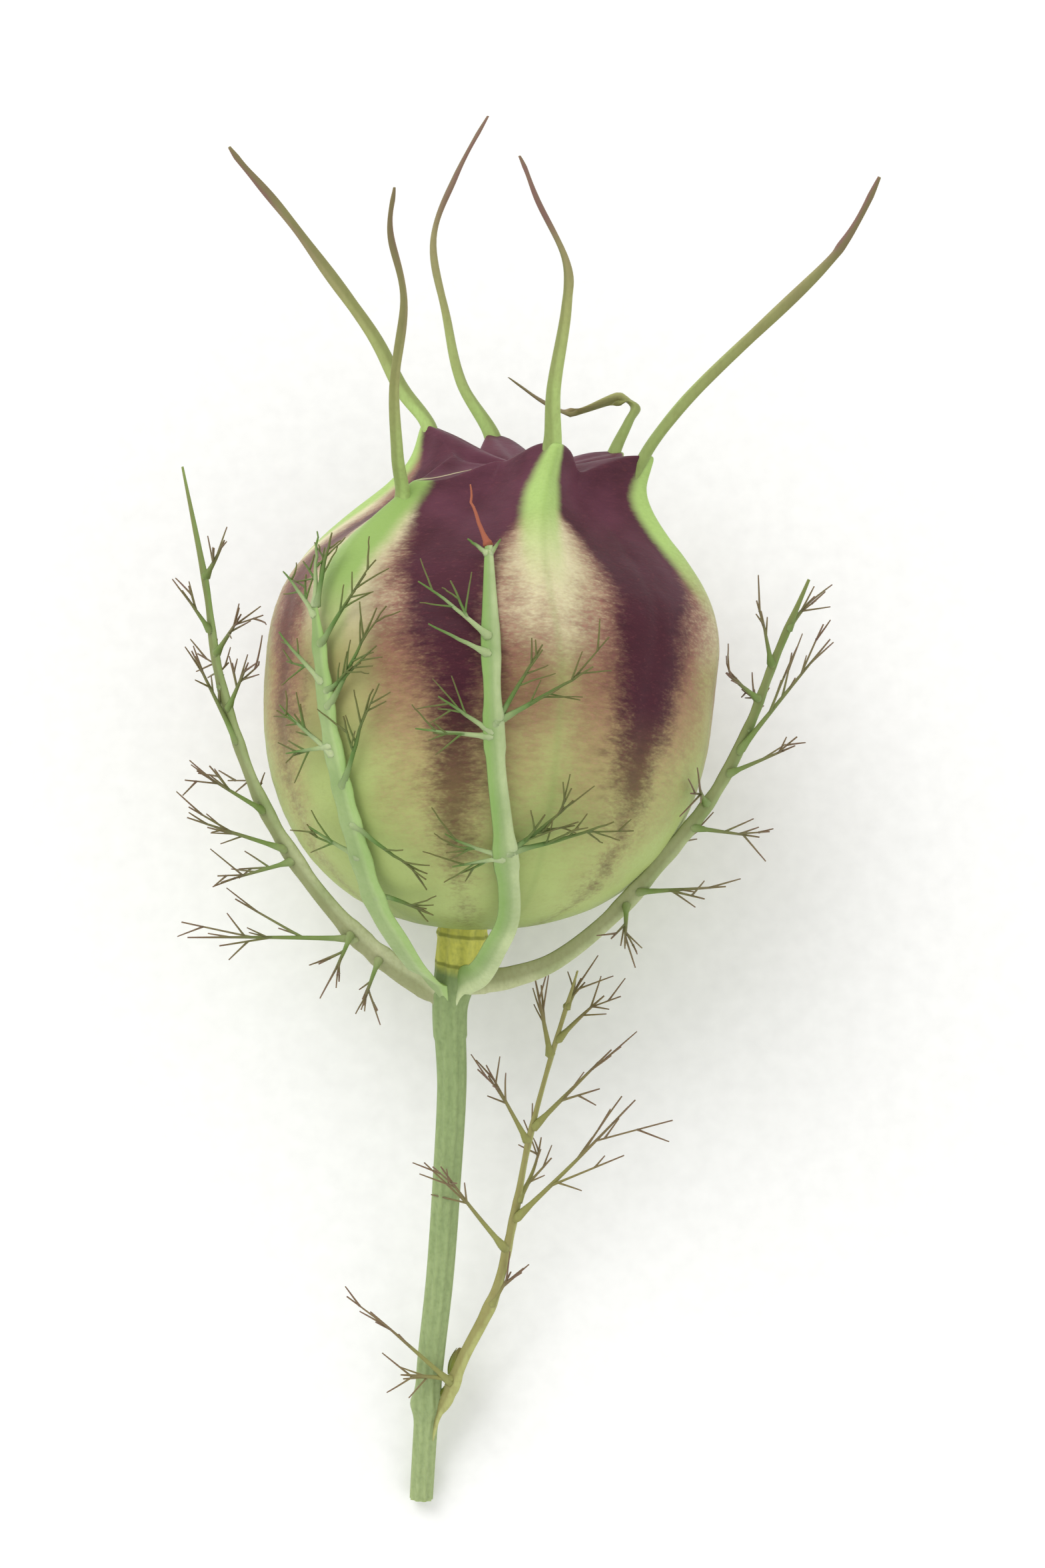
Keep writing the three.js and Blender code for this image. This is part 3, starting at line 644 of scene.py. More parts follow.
def place_plant(mesh, settings):
    """How the plant is laid down: the stem climbs by the tilt and the capsule fills its CAD box."""
    turn = Matrix.Rotation(lay_tilt(settings) - math.pi / 2, 4, "X")
    corners = [turn @ v.co for v in mesh.vertices]
    middle = Vector([(min(c[i] for c in corners) + max(c[i] for c in corners)) / 2 for i in range(3)])
    low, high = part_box("capsule")
    return Matrix.Translation((Vector(low) + Vector(high)) / 2 - middle) @ turn


def outward_from_axis(point):
    """Straight away from the capsule's leaning middle."""
    share = min(max((point.z - POD_BASE[1] * MM) / POD["height"], 0), 1)
    away = Vector((point.x - POD_BASE[0] * MM - POD["lean"] * share ** LEAN_POWER, point.y, 0))
    return away.normalized() if away.length > 1e-6 else Vector((0, -1, 0))


def hug(right, up, lift):
    """A point on the front of the capsule at a place right and up (mm), held off the surface by lift."""
    surface = POD["surface"]
    hit, normal, _, _ = surface.ray_cast(at(right, -40, up), Vector((0, 1, 0)))
    if hit is None or normal.y > -0.2:
        hit, normal, _, _ = surface.find_nearest(at(right, -9, up))
    return hit + normal * lift * MM


def near_pod(point, lift):
    """Brings a point down to lift off the capsule, leaving part of what it stands off beyond that."""
    hit, normal, _, _ = POD["surface"].find_nearest(point)
    stand = (point - hit).dot(normal) / MM
    return hit + normal * (lift + 0.4 * max(0, stand - lift)) * MM


def off_pod(point, distance):
    """Moves a point that is too near the capsule straight off its surface."""
    hit, normal, _, _ = POD["surface"].find_nearest(point)
    if (point - hit).dot(normal) >= distance * MM:
        return point
    return hit + normal * distance * MM


def on_table(right, up, lift):
    """A point on the table at a place right and up (mm), held off it by lift."""
    spot = POD["lay"] @ at(right, 0, up)
    slope = POD["lay"].to_3x3() @ Vector((0, 1, 0))
    return at(right, 0, up) + Vector((0, 1, 0)) * ((lift * MM - spot.z) / slope.z)


def spot_of(point):
    """A point of a midrib's table as a place in the growing plant."""
    if isinstance(point, OnPod):
        return hug(*point)
    if isinstance(point, OnTable):
        return on_table(*point)
    return at(*point)


def settle(lies, point, t):
    """Where the leaf lets a point lie, t being its place from the thread's root to its tip."""
    if lies == "against the pod":
        return near_pod(point, 0.45 + 0.45 * t)
    if lies == "on the table":
        return on_table(point.x / MM, point.z / MM, 0.2)
    return off_pod(point, 0.5)


def across_of(ahead):
    """A direction square to another."""
    other = Vector((0, 0, 1)) if abs(ahead.z) < 0.9 else Vector((1, 0, 0))
    return ahead.cross(other).normalized()


def spread(ahead, facing, angle, seed):
    """A direction at an angle to ahead, mostly in the plane that faces outward."""
    side = ahead.cross(facing)
    side = side.normalized() if side.length > 0.2 else across_of(ahead)
    side = Quaternion(ahead, 0.9 * (chance(seed, 44) - 0.5)) @ side
    return ahead * math.cos(angle) + side * math.sin(angle)


def add_thread(lines, lies, start, reach, forks, seed, settings, span):
    """One tapering thread with its forks, and small twigs at the ends. span is how old its root and tip are."""
    length = reach.length
    half_width, tip = settings.thread, settings.tip
    bow = across_of(reach.normalized()) * length * THREAD_BOW * (chance(seed, 50) - 0.5)

    def place(t):
        free = start + reach * t + bow * math.sin(math.pi * t)
        return start.lerp(settle(lies, free, t), min(1, t / 0.25))

    def width(t):
        web = 0.8 * bell(t - 0.1, 0.07)
        return mix(half_width, tip, t ** 0.8) * (1 + web) * mix(0.7, 1, min(1, t / 0.08))

    steps = max(8, int(length / MM * THREAD_POINTS))
    lines.add([place(i / steps) for i in range(steps + 1)], width, 1, start=span[0], end=span[1])
    ahead = reach.normalized()
    aside = across_of(ahead)
    for fork in range(forks):
        share = 0.28 + 0.5 * ((fork + chance(seed, fork)) / forks)
        angle = math.radians(FORK_ANGLE[0] + FORK_ANGLE[1] * chance(seed, fork + 10))
        roll = math.radians(180 * (fork % 2) + 100 * (chance(seed, fork + 20) - 0.5))
        side = Quaternion(ahead, roll) @ aside
        way = ahead * math.cos(angle) + side * math.sin(angle)
        fork_length = max(FORK_SHORTEST * MM, FORK_LENGTH * length * (0.8 + 0.4 * chance(seed, fork + 30)))
        fork_span, fork_width = (mix(*span, share), 1), width(share) * 0.8
        route = add_twig(lines, lies, place(share), way * fork_length, fork_width, tip, fork_span, seed)
        add_end_twigs(lines, lies, route, settings.twigs, tip, fork_span, seed + 3 * fork)
    if forks:
        end = [place(0.4 + 0.6 * i / 5) for i in range(6)]
        add_end_twigs(lines, lies, end, settings.twigs, tip, (mix(*span, 0.4), 1), seed + 11)


def add_end_twigs(lines, lies, route, twigs, tip, span, seed):
    """Small twigs on both sides of the outer part of a thread."""
    for twig in range(twigs):
        share = TWIG_PLACES[twig] + 0.16 * (chance(seed, twig + 60) - 0.5)
        place = share * (len(route) - 1)
        root = route[int(place)].lerp(route[min(int(place) + 1, len(route) - 1)], place % 1)
        ahead = (route[-1] - route[0]).normalized()
        facing = outward_from_axis(root) if lies != "on the table" else Vector((0, 1, 0))
        side = 1 if (twig + int(10 * chance(seed, 8))) % 2 else -1
        angle = TWIG_ANGLE[0] + TWIG_ANGLE[1] * chance(seed, twig + 70)
        way = spread(ahead, facing, side * angle, seed + twig)
        length = (TWIG_LENGTH[0] + TWIG_LENGTH[1] * chance(seed, twig + 80)) * MM
        add_twig(lines, lies, root, way * length, tip * 1.7, tip * 0.8, (mix(*span, share), 1), seed + twig)


def add_twig(lines, lies, root, reach, half_width, tip, span, seed):
    """A short thread without forks, slightly bent. Returns its route."""
    bend = across_of(reach.normalized()) * reach.length * THREAD_BOW * (chance(seed, 40) - 0.5)
    steps = 6
    points = [root]
    for i in range(1, steps + 1):
        t = i / steps
        free = root + reach * t + bend * t * t
        points.append(root.lerp(settle(lies, free, 1), min(1, t * 1.5)))
    lines.add(points, lambda t: mix(half_width, tip, t ** 0.8), 2, start=span[0], end=span[1])
    return points


# ------------------------------------------------------------------ colours and finishes


def srgb(red, green, blue):
    """A colour given from 0 to 255 as it looks, as the shader wants it."""
    values = [v / 255 for v in (red, green, blue)]
    return (*[v / 12.92 if v <= 0.04045 else ((v + 0.055) / 1.055) ** 2.4 for v in values], 1.0)


def chosen(colour):
    """A colour setting as the shader wants it."""
    return srgb(*(255 * c for c in colour))


def coated(tree, base, *coats):
    """A colour with others laid over it in turn, each with its share from 0 to 1."""
    for colour, share in coats:
        node = add_node(tree, "ShaderNodeMix", {"Factor": share, 6: base, 7: colour}, data_type="RGBA")
        base = node.outputs[2]
    return base


def carried(tree, name):
    return Term(tree, add_node(tree, "ShaderNodeAttribute", attribute_name=name).outputs["Fac"])


def from_root(tree):
    """How far a point is from the root of its piece, 1 being the tip."""
    return carried(tree, "along")


def on_midrib(tree):
    """1 on a midrib and 0 on its threads."""
    return 1 - carried(tree, "order").ramp(0.0, 1.0)


def new_material(name, roughness, soft):
    """A material with its Principled shader set for thin plant skin."""
    material = bpy.data.materials.new(name)
    material.use_nodes = True
    tree = material.node_tree
    shader = tree.nodes["Principled BSDF"]
    for label, value in (
        ("Roughness", roughness), ("Specular IOR Level", 0.16), ("Subsurface Weight", soft),
        ("Subsurface Radius", (1.0, 1.0, 0.4)), ("Subsurface Scale", 0.5 * MM),
    ):
        shader.inputs[label].default_value = value
    return material, tree, shader


def finish_skin(tree, shader, colour, roughness, height, distance, strength):
    """Links a skin's colour and roughness, and its relief as a bump."""
    bump = add_node(tree, "ShaderNodeBump", {"Strength": strength, "Distance": distance, "Height": height})
    for value, label in ((colour, "Base Color"), (roughness, "Roughness"), (bump.outputs[0], "Normal")):
        plug(tree, value, shader.inputs[label])


def tissue_group():
    """Tissue that turns from young to middle to old colour along a piece, with fibres and freckles."""
    tree = bpy.data.node_groups.new("green tissue", "ShaderNodeTree")
    number, colour = "NodeSocketFloat", "NodeSocketColor"
    for label, kind, default in (
        ("Young Colour", colour, srgb(160, 185, 115)), ("Old Colour", colour, srgb(120, 90, 80)),
        ("Middle Colour", colour, srgb(110, 140, 70)), ("Shade Colour", colour, srgb(95, 115, 60)),
        ("Age", number, 0.0), ("Mottle", number, 0.35),
    ):
        tree.interface.new_socket(label, in_out="INPUT", socket_type=kind).default_value = default
    for label, kind in (("Color", colour), ("Roughness", number), ("Height", number)):
        tree.interface.new_socket(label, in_out="OUTPUT", socket_type=kind)
    given = tree.nodes.new("NodeGroupInput").outputs
    coordinates = tree.nodes.new("ShaderNodeTexCoord").outputs["Object"]
    x, y, z = parts_of(tree, coordinates)
    patches = noise(tree, coordinates, 420, 2.0)
    fibres = noise(tree, vector_of(tree, x, y * 0.16, z), 5200, 2.0)
    freckles = noise(tree, coordinates, 3600, 2.0)
    age = (Term(tree, given["Age"]) + (patches - 0.5) * 0.35).ramp(0.0, 1.0)
    mottle = (freckles.ramp(0.45, 0.75) * 0.5 + fibres.ramp(0.4, 0.7) * 0.5) * Term(tree, given["Mottle"])
    colour = coated(
        tree, given["Young Colour"], (given["Middle Colour"], age.ramp(0.0, 0.5)),
        (given["Old Colour"], age.ramp(0.5, 1.0)), (given["Shade Colour"], mottle))
    add_node(tree, "NodeGroupOutput", {
        "Color": colour, "Roughness": 0.42 + freckles * 0.25, "Height": fibres * 0.7 + freckles * 0.3})
    return tree


def tissue_material(name, young, middle, old, shade, age=from_root, mottle=0.35, tints=()):
    """A material of green tissue. age(tree) gives 0 where the piece is young and 1 where it is old.

    tints are colours laid over it, each with a share(tree) from 0 to 1.
    """
    material, tree, shader = new_material(name, 0.5, 0.15)
    group = tree.nodes.new("ShaderNodeGroup")
    group.node_tree = bpy.data.node_groups.get("green tissue") or tissue_group()
    for label, value in (
        ("Young Colour", young), ("Middle Colour", middle), ("Old Colour", old), ("Shade Colour", shade),
        ("Mottle", mottle), ("Age", age(tree)),
    ):
        plug(tree, value, group.inputs[label])
    colour = coated(
        tree, group.outputs["Color"], *((tint, share(tree)) for tint, share in tints),
        # painted shade: the shade colour laid down the hollow in the middle of a midrib
        (shade, carried(tree, "groove") * on_midrib(tree) * 0.5))
    finish_skin(tree, shader, colour, group.outputs["Roughness"], group.outputs["Height"], 0.03 * MM, 0.6)
    return material


def by_height(tree, up, *points):
    """A value read from a curve of (share of the capsule's height, value)."""
    most = max(value for _, value in points)
    node = tree.nodes.new("ShaderNodeFloatCurve")
    curve = node.mapping.curves[0]
    for place, value in points[1:-1]:
        curve.points.new(place, value / most)
    curve.points[0].location = (0, points[0][1] / most)
    curve.points[-1].location = (1, points[-1][1] / most)
    node.mapping.update()
    plug(tree, up, node.inputs["Value"])
    return Term(tree, node.outputs[0]) * most


def capsule_material(settings):
    """Pale green skin with dark bands along the seams, feathered crosswise into a pinkish brown."""
    material, tree, shader = new_material("capsule skin", 0.46, 0.12)
    tone = {name: srgb(*rgb) for name, rgb in CAPSULE_TONES.items()}
    coordinates = tree.nodes.new("ShaderNodeTexCoord").outputs["Object"]
    x, y, z = parts_of(tree, coordinates)
    from_seam, from_ridge, up, band, crown, greenness = (
        carried(tree, name) for name in ("from_seam", "from_ridge", "up", "band", "crown", "green"))

    # Streaks run across the bands: fine along the pod, long round it.
    streaks = noise(tree, vector_of(tree, x * 0.36, y, z * 0.36), 3000, 3.0, 0.65)
    fine = noise(tree, vector_of(tree, x * 0.45, y, z * 0.45), 7600, 2.0, 0.6)
    patches = noise(tree, coordinates, 240, 2.0)
    specks = noise(tree, coordinates, 4200, 2.0)
    ragged = (streaks - 0.5) * 1.5 + (fine - 0.5) * 1.5 + (patches - 0.5) * 2.4

    # Half widths of the dark band and of the blush beside it, in millimetres, by height.
    dark_reach = by_height(tree, up, *DARK_REACH) * band
    blush_reach = by_height(tree, up, *BLUSH_REACH) * (0.35 + 0.65 * band)
    blush_depth = by_height(tree, up, *BLUSH_DEPTH)
    soft = 0.25 + 1.1 * (1 - up.ramp(0.6, 0.95, True))
    rag = ragged * (1 - up.ramp(0.7, 1.0) * 0.8)

    def near_seam(reach, inner, outer, softness):
        """1 on the seam and 0 past a ragged edge at reach."""
        return 1 - from_seam.ramp(reach + (rag - inner) * softness, reach + (rag + outer) * softness, True)

    green_ridge = greenness.ramp(0.65, 1.0)
    blush = near_seam(blush_reach, 1.5, 1.2, soft * 1.5)
    blush = blush * (1 - green_ridge * 0.85 * (1 - from_ridge.ramp(1.4, 3.2, True)))
    dark = near_seam(dark_reach, 1, 1, soft)
    dark = dark * band.ramp(0.0, 0.8).blend_to(1.0, up.ramp(0.74, 0.86))

    # Bright green ridges: narrow under the styles, widest on the shoulder, gone at the widest level.
    ridge_reach = by_height(tree, up, *RIDGE_REACH) * (0.95 + greenness * (0.55 - 0.95 * up.ramp(0.78, 0.9)))
    ridge = 1 - from_ridge.ramp(ridge_reach * 0.7 + rag * 0.1, ridge_reach * 1.4 + rag * 0.3 + 0.12, True)
    ridge_end = 0.72 - 0.2 * greenness
    ridge = ridge * up.ramp(ridge_end, ridge_end + 0.2, True) * (1 - crown.ramp(0.02, 0.14))
    middle_line = (1 - from_ridge.ramp(0.05, 0.3)) * 0.2 * (1 - crown.ramp(0, 0.2))

    blushed = coated(
        tree, tone["low blush"],
        (tone["high blush"], up.ramp(0.35, 0.62, True)),
        (tone["blush streaks"], streaks.ramp(0.35, 0.7) * 0.5),
        (tone["pink"], fine.ramp(0.5, 0.75) * 0.4))
    purple = coated(
        tree, tone["low band"],
        (chosen(settings.band), up.ramp(0.28, 0.5, True)),
        (chosen(settings.crown), up.ramp(0.78, 0.98) * 0.9),
        (tone["band streaks"], streaks.ramp(0.45, 0.8) * 0.5),
        (tone["red brown"], fine.ramp(0.55, 0.8) * 0.4),
        (tone["violet"], patches.ramp(0.42, 0.66) * up.ramp(0.66, 0.9) * 0.45))
    ridge_green = coated(
        tree, chosen(settings.ridge),
        (tone["ridge grain"], fine.ramp(0.4, 0.8) * 0.4),
        (tone["greener ridge"], green_ridge * 0.8))
    skin = coated(
        tree, chosen(settings.low_green),
        (chosen(settings.skin), up.ramp(0.3, 0.5, True) * (0.55 + 0.6 * patches)),
        (chosen(settings.cream), up.ramp(0.54, 0.68, True) * (1 - from_ridge.ramp(2.2, 6.5, True) * 0.5)),
        (tone["olive"], patches.ramp(0.45, 0.75) * 0.3 + specks.ramp(0.5, 0.8) * 0.15),
        (blushed, blush * blush_depth * (0.62 + 0.4 * fine)),
        (purple, dark * (0.78 + 0.22 * up.ramp(0.3, 0.5))),
        (ridge_green, ridge),
        (tone["ridge line"], middle_line),
        # painted shade: darker olive over the lowest part of the capsule, where it curves under towards the
        # receptacle
        (tone["base"], (1 - up.ramp(0.01, 0.075, True)) * 0.45))
    finish_skin(tree, shader, skin, 0.38 + fine * 0.22, streaks * 0.6 + fine * 0.4, 0.05 * MM, 0.7)
    return material


# ------------------------------------------------------------------ settings


def length_setting(name, millimetres, description):
    return FloatProperty(
        name=name, description=description, default=millimetres * MM, unit="LENGTH", precision=5)


def colour_setting(name, rgb, description):
    return FloatVectorProperty(
        name=name, description=description, default=[c / 255 for c in rgb], subtype="COLOR_GAMMA", min=0, max=1)


class CapsuleSettings(bpy.types.PropertyGroup):
    """Sizes and colours of the capsule."""

    height: length_setting("Height", 27.5, "Base to crown along the capsule's axis")
    radius: length_setting("Radius", 12.75, "Mean radius at the widest level")
    widest: length_setting("Widest level", 13.5, "Height of the widest level above the base")
    neck: length_setting("Neck radius", 6.1, "Mean radius under the crown")
    lean: length_setting("Lean", 3.1, "Sideways drift of the axis at the crown")
    tilt: FloatProperty(name="Tilt", description="Tilt of the crown in degrees", default=8.0)
    flute: FloatProperty(
        name="Crown flute", description="Depth of the flutes at the crown, of the radius", default=0.3)
    keel: length_setting("Keel", 0.8, "How far the ridges stand out under the styles")
    skin: colour_setting("Skin", (170, 160, 108), "Skin at the middle of the capsule")
    cream: colour_setting("Cream", (216, 208, 168), "Skin of the shoulders")
    low_green: colour_setting("Lower green", (170, 186, 114), "Skin of the lower third")
    ridge: colour_setting("Ridges", (172, 200, 118), "Back ridges of the carpels")
    band: colour_setting("Bands", (70, 28, 40), "Dark bands along the seams")
    crown: colour_setting("Crown", (84, 44, 56), "Dark bands where they meet at the crown")


class StyleSettings(bpy.types.PropertyGroup):
    """Sizes and colours of the styles."""

    foot: length_setting("Foot radius", 0.56, "Radius where a style leaves its ridge")
    green: colour_setting("Green", (172, 198, 120), "Foot of the styles")
    middle: colour_setting("Middle", (158, 160, 104), "Middle of the styles")
    tip: colour_setting("Tip", (128, 98, 90), "Dry upper part of the styles")


class RuffSettings(bpy.types.PropertyGroup):
    """Sizes and colours of the bracts and the leaf."""

    thread: length_setting("Thread radius", 0.19, "Radius of a thread where it leaves its midrib")
    tip: length_setting("Tip radius", 0.045, "Radius of a thread's end")
    twigs: IntProperty(
        name="End forks", description="Small forks at the end of each thread",
        default=2, min=0, max=len(TWIG_PLACES))
    midrib: colour_setting("Midrib", (202, 214, 164), "Midribs of the bracts in front")
    thread_green: colour_setting("Thread", (92, 122, 62), "Threads near the midrib")
    thread_tip: colour_setting("Thread tips", (114, 88, 80), "Ends of the threads")
    side: colour_setting("Side midribs", (212, 214, 172), "Midribs of the bracts at the sides")
    leaf: colour_setting("Leaf", (182, 186, 122), "Midrib of the leaf")
    dry: colour_setting("Dry thread", (158, 92, 70), "The dried thread at the end of the front bract")


class StemSettings(bpy.types.PropertyGroup):
    """Sizes and colours of the stem."""

    ribs: IntProperty(name="Ribs", description="Lengthwise ribs round the stem", default=9, min=0)
    rib_depth: FloatProperty(name="Rib depth", description="Height of the ribs, of the radius", default=0.075)
    green: colour_setting("Green", (160, 176, 124), "The lower stem")
    upper: colour_setting("Upper green", (138, 158, 106), "The stem under the ruff")
    neck: colour_setting("Receptacle", (214, 212, 104), "The receptacle under the capsule")
    bud: colour_setting("Bud", (184, 190, 98), "The bud in the leaf's axil")


class StageSettings(bpy.types.PropertyGroup):
    """Camera and light."""

    lean: FloatProperty(name="Lean", description="How far the pod leans to the camera, in degrees", default=5.0)
    lens: FloatProperty(name="Lens", description="Focal length in millimetres", default=90.0)
    fill: FloatProperty(
        name="Fill", description="Share of the picture's height that the pod takes", default=0.9)
    floor: colour_setting("Table", (252, 252, 250), "The table")


# ------------------------------------------------------------------ operators


class NIGELLA_OT_capsule(bpy.types.Operator):
    """Make the capsule from its rule and lay it down"""

    bl_idname = "nigella.capsule"
    bl_label = "Capsule"

    def execute(self, context):
        settings = context.scene.nigella_capsule
        sizes = {name.title(): getattr(settings, name) for name in (
            "height", "radius", "widest", "neck", "lean", "tilt", "keel")}
        mesh = grown("capsule_skin", bpy.data.meshes.new("capsule seed"), capsule_tree(), {
            **sizes, "Crown Flute": settings.flute, "Material": capsule_material(settings)})
        POD["height"], POD["lean"] = settings.height, settings.lean
        POD["surface"] = BVHTree.FromPolygons(
            [v.co.copy() for v in mesh.vertices], [tuple(p.vertices) for p in mesh.polygons])
        POD["lay"] = place_plant(mesh, settings)
        POD["ridges"] = [self.ridge_line(mesh, ridge, settings) for ridge in RIDGES]
        make_piece("capsule_skin", mesh, "capsule", "capsule")
        return {"FINISHED"}

    @staticmethod
    def ridge_line(mesh, azimuth, settings):
        """Points of the ridge at an azimuth, from its top downwards."""
        crown_middle = POD_BASE[0] * MM + settings.lean * 0.85
        ridge = []
        for vertex, up, crown, off in zip(mesh.vertices, *(
                mesh.attributes[name].data for name in ("up", "crown", "from_ridge"))):
            if crown.value > 0.02 or up.value < 0.66 or off.value > 0.25:
                continue
            turn = math.degrees(math.atan2(vertex.co.x - crown_middle, -vertex.co.y))
            if abs((turn - azimuth + 180) % 360 - 180) < 22:
                ridge.append(vertex.co.copy())
        if not ridge:
            raise RuntimeError(f"the capsule has no ridge at {azimuth} degrees")
        return sorted(ridge, key=lambda point: -point.z)


class NIGELLA_OT_styles(bpy.types.Operator):
    """Grow the six styles from the beaks of the crown"""

    bl_idname = "nigella.styles"
    bl_label = "Styles"

    def execute(self, context):
        settings = context.scene.nigella_style
        material = tissue_material(
            "style skin", chosen(settings.green), chosen(settings.middle), chosen(settings.tip),
            srgb(112, 116, 66), lambda tree: from_root(tree).ramp(0.24, 0.82), mottle=0.28)
        for number, (name, (ridge, points, sink, radii)) in enumerate(STYLES.items()):
            route = self.route(POD["ridges"][ridge], [at(*p) for p in points], sink, number)
            lines = Lines()
            width = self.half_width(settings.foot, radii, len(points) + 1)
            lines.add(route, width, flat=True, outward=self.facing(number))
            sweep_piece(name, lines, "style", {
                "Flat Sides": 16, "Flatness": 0.78, "Channel": 0.14, "Material": material})
        return {"FINISHED"}

    @staticmethod
    def route(ridge, points, sink, number):
        """From inside the ridge out at its top and on along the style, with a slight unevenness."""
        top = min(ridge, key=lambda point: abs((ridge[0] - point).length - sink * MM))
        under = min(ridge, key=lambda point: abs((ridge[0] - point).length - (sink + 2.4) * MM))
        inward = -outward_from_axis(top)
        line = [under + inward * 0.9 * MM, top + inward * 0.42 * MM - Vector((0, 0, 0.2 * MM)), *points]
        steps = 64
        route = evenly(line, steps)
        for i, point in enumerate(route):
            t = i / steps
            sway = 0.1 * MM * max(0, t - 0.25)
            point += sway * Vector(
                (math.sin(19 * t + number), math.sin(23 * t + 2 * number), math.sin(17 * t + 3 * number)))
        return route

    @staticmethod
    def half_width(foot, radii, stretches):
        """Half width along a style: the foot ends one stretch after the beak."""
        base, middle, tip = (r * MM for r in radii)
        first, half_way = 1 / stretches, 0.55

        def width(t):
            if t < first:
                return foot * mix(0.35, 1, t / first)
            if t < 2 * first:
                return mix(foot, base, ((t - first) / first) ** 0.6)
            if t < half_way:
                return mix(base, middle, (t - 2 * first) / (half_way - 2 * first))
            taper = (t - half_way) / (1 - half_way)
            return mix(middle, tip, taper) * (1 + 0.12 * math.sin(14 * taper)) * (1 - 5 * max(0, taper - 0.9))

        return width

    @staticmethod
    def facing(number):
        """A style turns slowly as it climbs, each the other way from the one before."""
        turn = 1.8 if number % 2 else -1.8
        return lambda point, t: Quaternion((0, 0, 1), turn * t) @ outward_from_axis(point)


class NIGELLA_OT_ruff(bpy.types.Operator):
    """Grow the five bracts and the leaf: a flat midrib each, with forking threads"""

    bl_idname = "nigella.ruff"
    bl_label = "Bracts and leaf"

    def execute(self, context):
        settings = context.scene.nigella_ruff
        tip, green, pale = chosen(settings.thread_tip), chosen(settings.thread_green), chosen(settings.midrib)
        dry = (chosen(settings.dry), lambda tree: from_root(tree).ramp(1.05, 1.1))
        side = tissue_material(
            "side bract skin", chosen(settings.side), srgb(118, 142, 78), tip, srgb(122, 122, 76), mottle=0.3)
        finishes = {
            name: tissue_material(
                name.replace("_", " ") + " skin", pale, green, srgb(98, 92, 58), srgb(112, 146, 74),
                mottle=0.2, tints=((srgb(138, 184, 84), self.one_side(side_sign)), dry))
            for name, side_sign in (("bract_front", -1), ("bract_front_left", 1))
        }
        finishes["leaf"] = tissue_material(
            "leaf skin", chosen(settings.leaf), srgb(144, 146, 86), tip, srgb(128, 114, 70), mottle=0.4)
        for name, leaf in LEAVES.items():
            aged = 0.2 if "front" in name else 0.3 if name == "leaf" else 0.56
            lines = self.lines(leaf, "front" in name, aged, settings)
            sweep_piece(name, lines, "leaf" if name == "leaf" else "bract", {
                "Sides": 6, "Flat Sides": 16, "Flatness": leaf["thickness"] / leaf["width"][0] * 0.9,
                "Channel": 0.2, "Material": finishes.get(name, side)})
        return {"FINISHED"}

    @staticmethod
    def one_side(sign):
        """How far a point is to one side of its midrib."""
        return lambda tree: (carried(tree, "side") * sign).ramp(0.0, 0.6) * on_midrib(tree) * 0.5

    @staticmethod
    def lines(leaf, in_front, aged, settings):
        """The midrib and the threads of a leaf. aged is how old its midrib's tip is."""
        midrib = [spot_of(point) for point in leaf["midrib"]]
        base = [at(*point) for point in leaf["base"]]
        places = sorted({place for place, _, _ in leaf["threads"]})
        low, high = (w / 2 * MM for w in leaf["width"])
        root = len(base) / (len(base) + len(midrib) - 1)

        def width(t):
            if t < root:
                return low * mix(0.35, 1, (t / root) ** 1.5)
            t = (t - root) / (1 - root)
            nodes = sum(bell(t - place, 0.022) for place in places if place < 0.97)
            taper = 1 - 0.45 * max(0, t - 0.93) / 0.07
            return mix(low, high, t ** 0.8) * (1 + 0.22 * min(1.0, nodes)) * taper

        def facing(point, _):
            return (outward_from_axis(point) + leaf["turn"] * Vector((0, -1, 0))).normalized()

        lines = Lines()
        lines.add(evenly(base + midrib, 100), width, 0, True, facing, start=0.0, end=aged)
        for row, (place, reach, forks) in enumerate(leaf["threads"]):
            span = (0.2 if in_front else 0.28 + 0.16 * place, 1.0)
            if in_front and place == 1 and forks == 0:
                span = (1.2, 1.2)
            elif in_front and (reach[0] < 0 or forks == 0):
                span = (0.12, 0.6)
            root = along_line(midrib, place)
            add_thread(lines, leaf["lies"], root, at(*reach), forks, leaf["seed"] + row, settings, span)
        return lines


class NIGELLA_OT_bud(bpy.types.Operator):
    """Make the resting bud in the leaf's axil: a pointed egg in a few narrow scales"""

    bl_idname = "nigella.bud"
    bl_label = "Axillary bud"

    def execute(self, context):
        settings = context.scene.nigella_stem
        tilt = math.radians(12)
        middle, lean = at(0.5, 0.68, -22.1), Vector((math.sin(tilt), 0, math.cos(tilt)))
        lines, steps = Lines(), 16
        stalk = [at(-0.95, 0.2, -24.5), at(0, 0.42, -23.5), middle - 0.3 * MM * lean]
        lines.add(evenly(stalk, steps), lambda t: mix(0.32, 0.22, t) * MM)
        lines.add(
            [middle + lean * MM * (1.7 * i / steps - 0.85) for i in range(steps + 1)],
            lambda t: 0.45 * MM * math.sqrt(max(0.01, math.sin(math.pi * min(0.98, 0.06 + 0.94 * t ** 0.85)))))
        scales = 5
        for scale in range(scales):
            out = Quaternion(lean, math.tau * scale / scales) @ across_of(lean)
            route = []
            for i in range(9):
                t = i / 8
                swell = 0.4 * math.sin(math.pi * (0.25 + 0.62 * t)) + 0.06
                route.append(middle + (lean * (1.55 * t - 0.75) + out * swell) * MM)
            lines.add(
                route, lambda t: mix(0.24, 0.05, t) * MM, 1, True, lambda point, t, out=out: out, 0.3, 0.9)
        material = tissue_material(
            "bud skin", chosen(settings.bud), srgb(150, 160, 80), srgb(120, 104, 62), srgb(112, 120, 60),
            mottle=0.3)
        sweep_piece("axillary_bud", lines, "bud", {
            "Sides": 20, "Flat Sides": 10, "Flatness": 0.35, "Material": material})
        return {"FINISHED"}


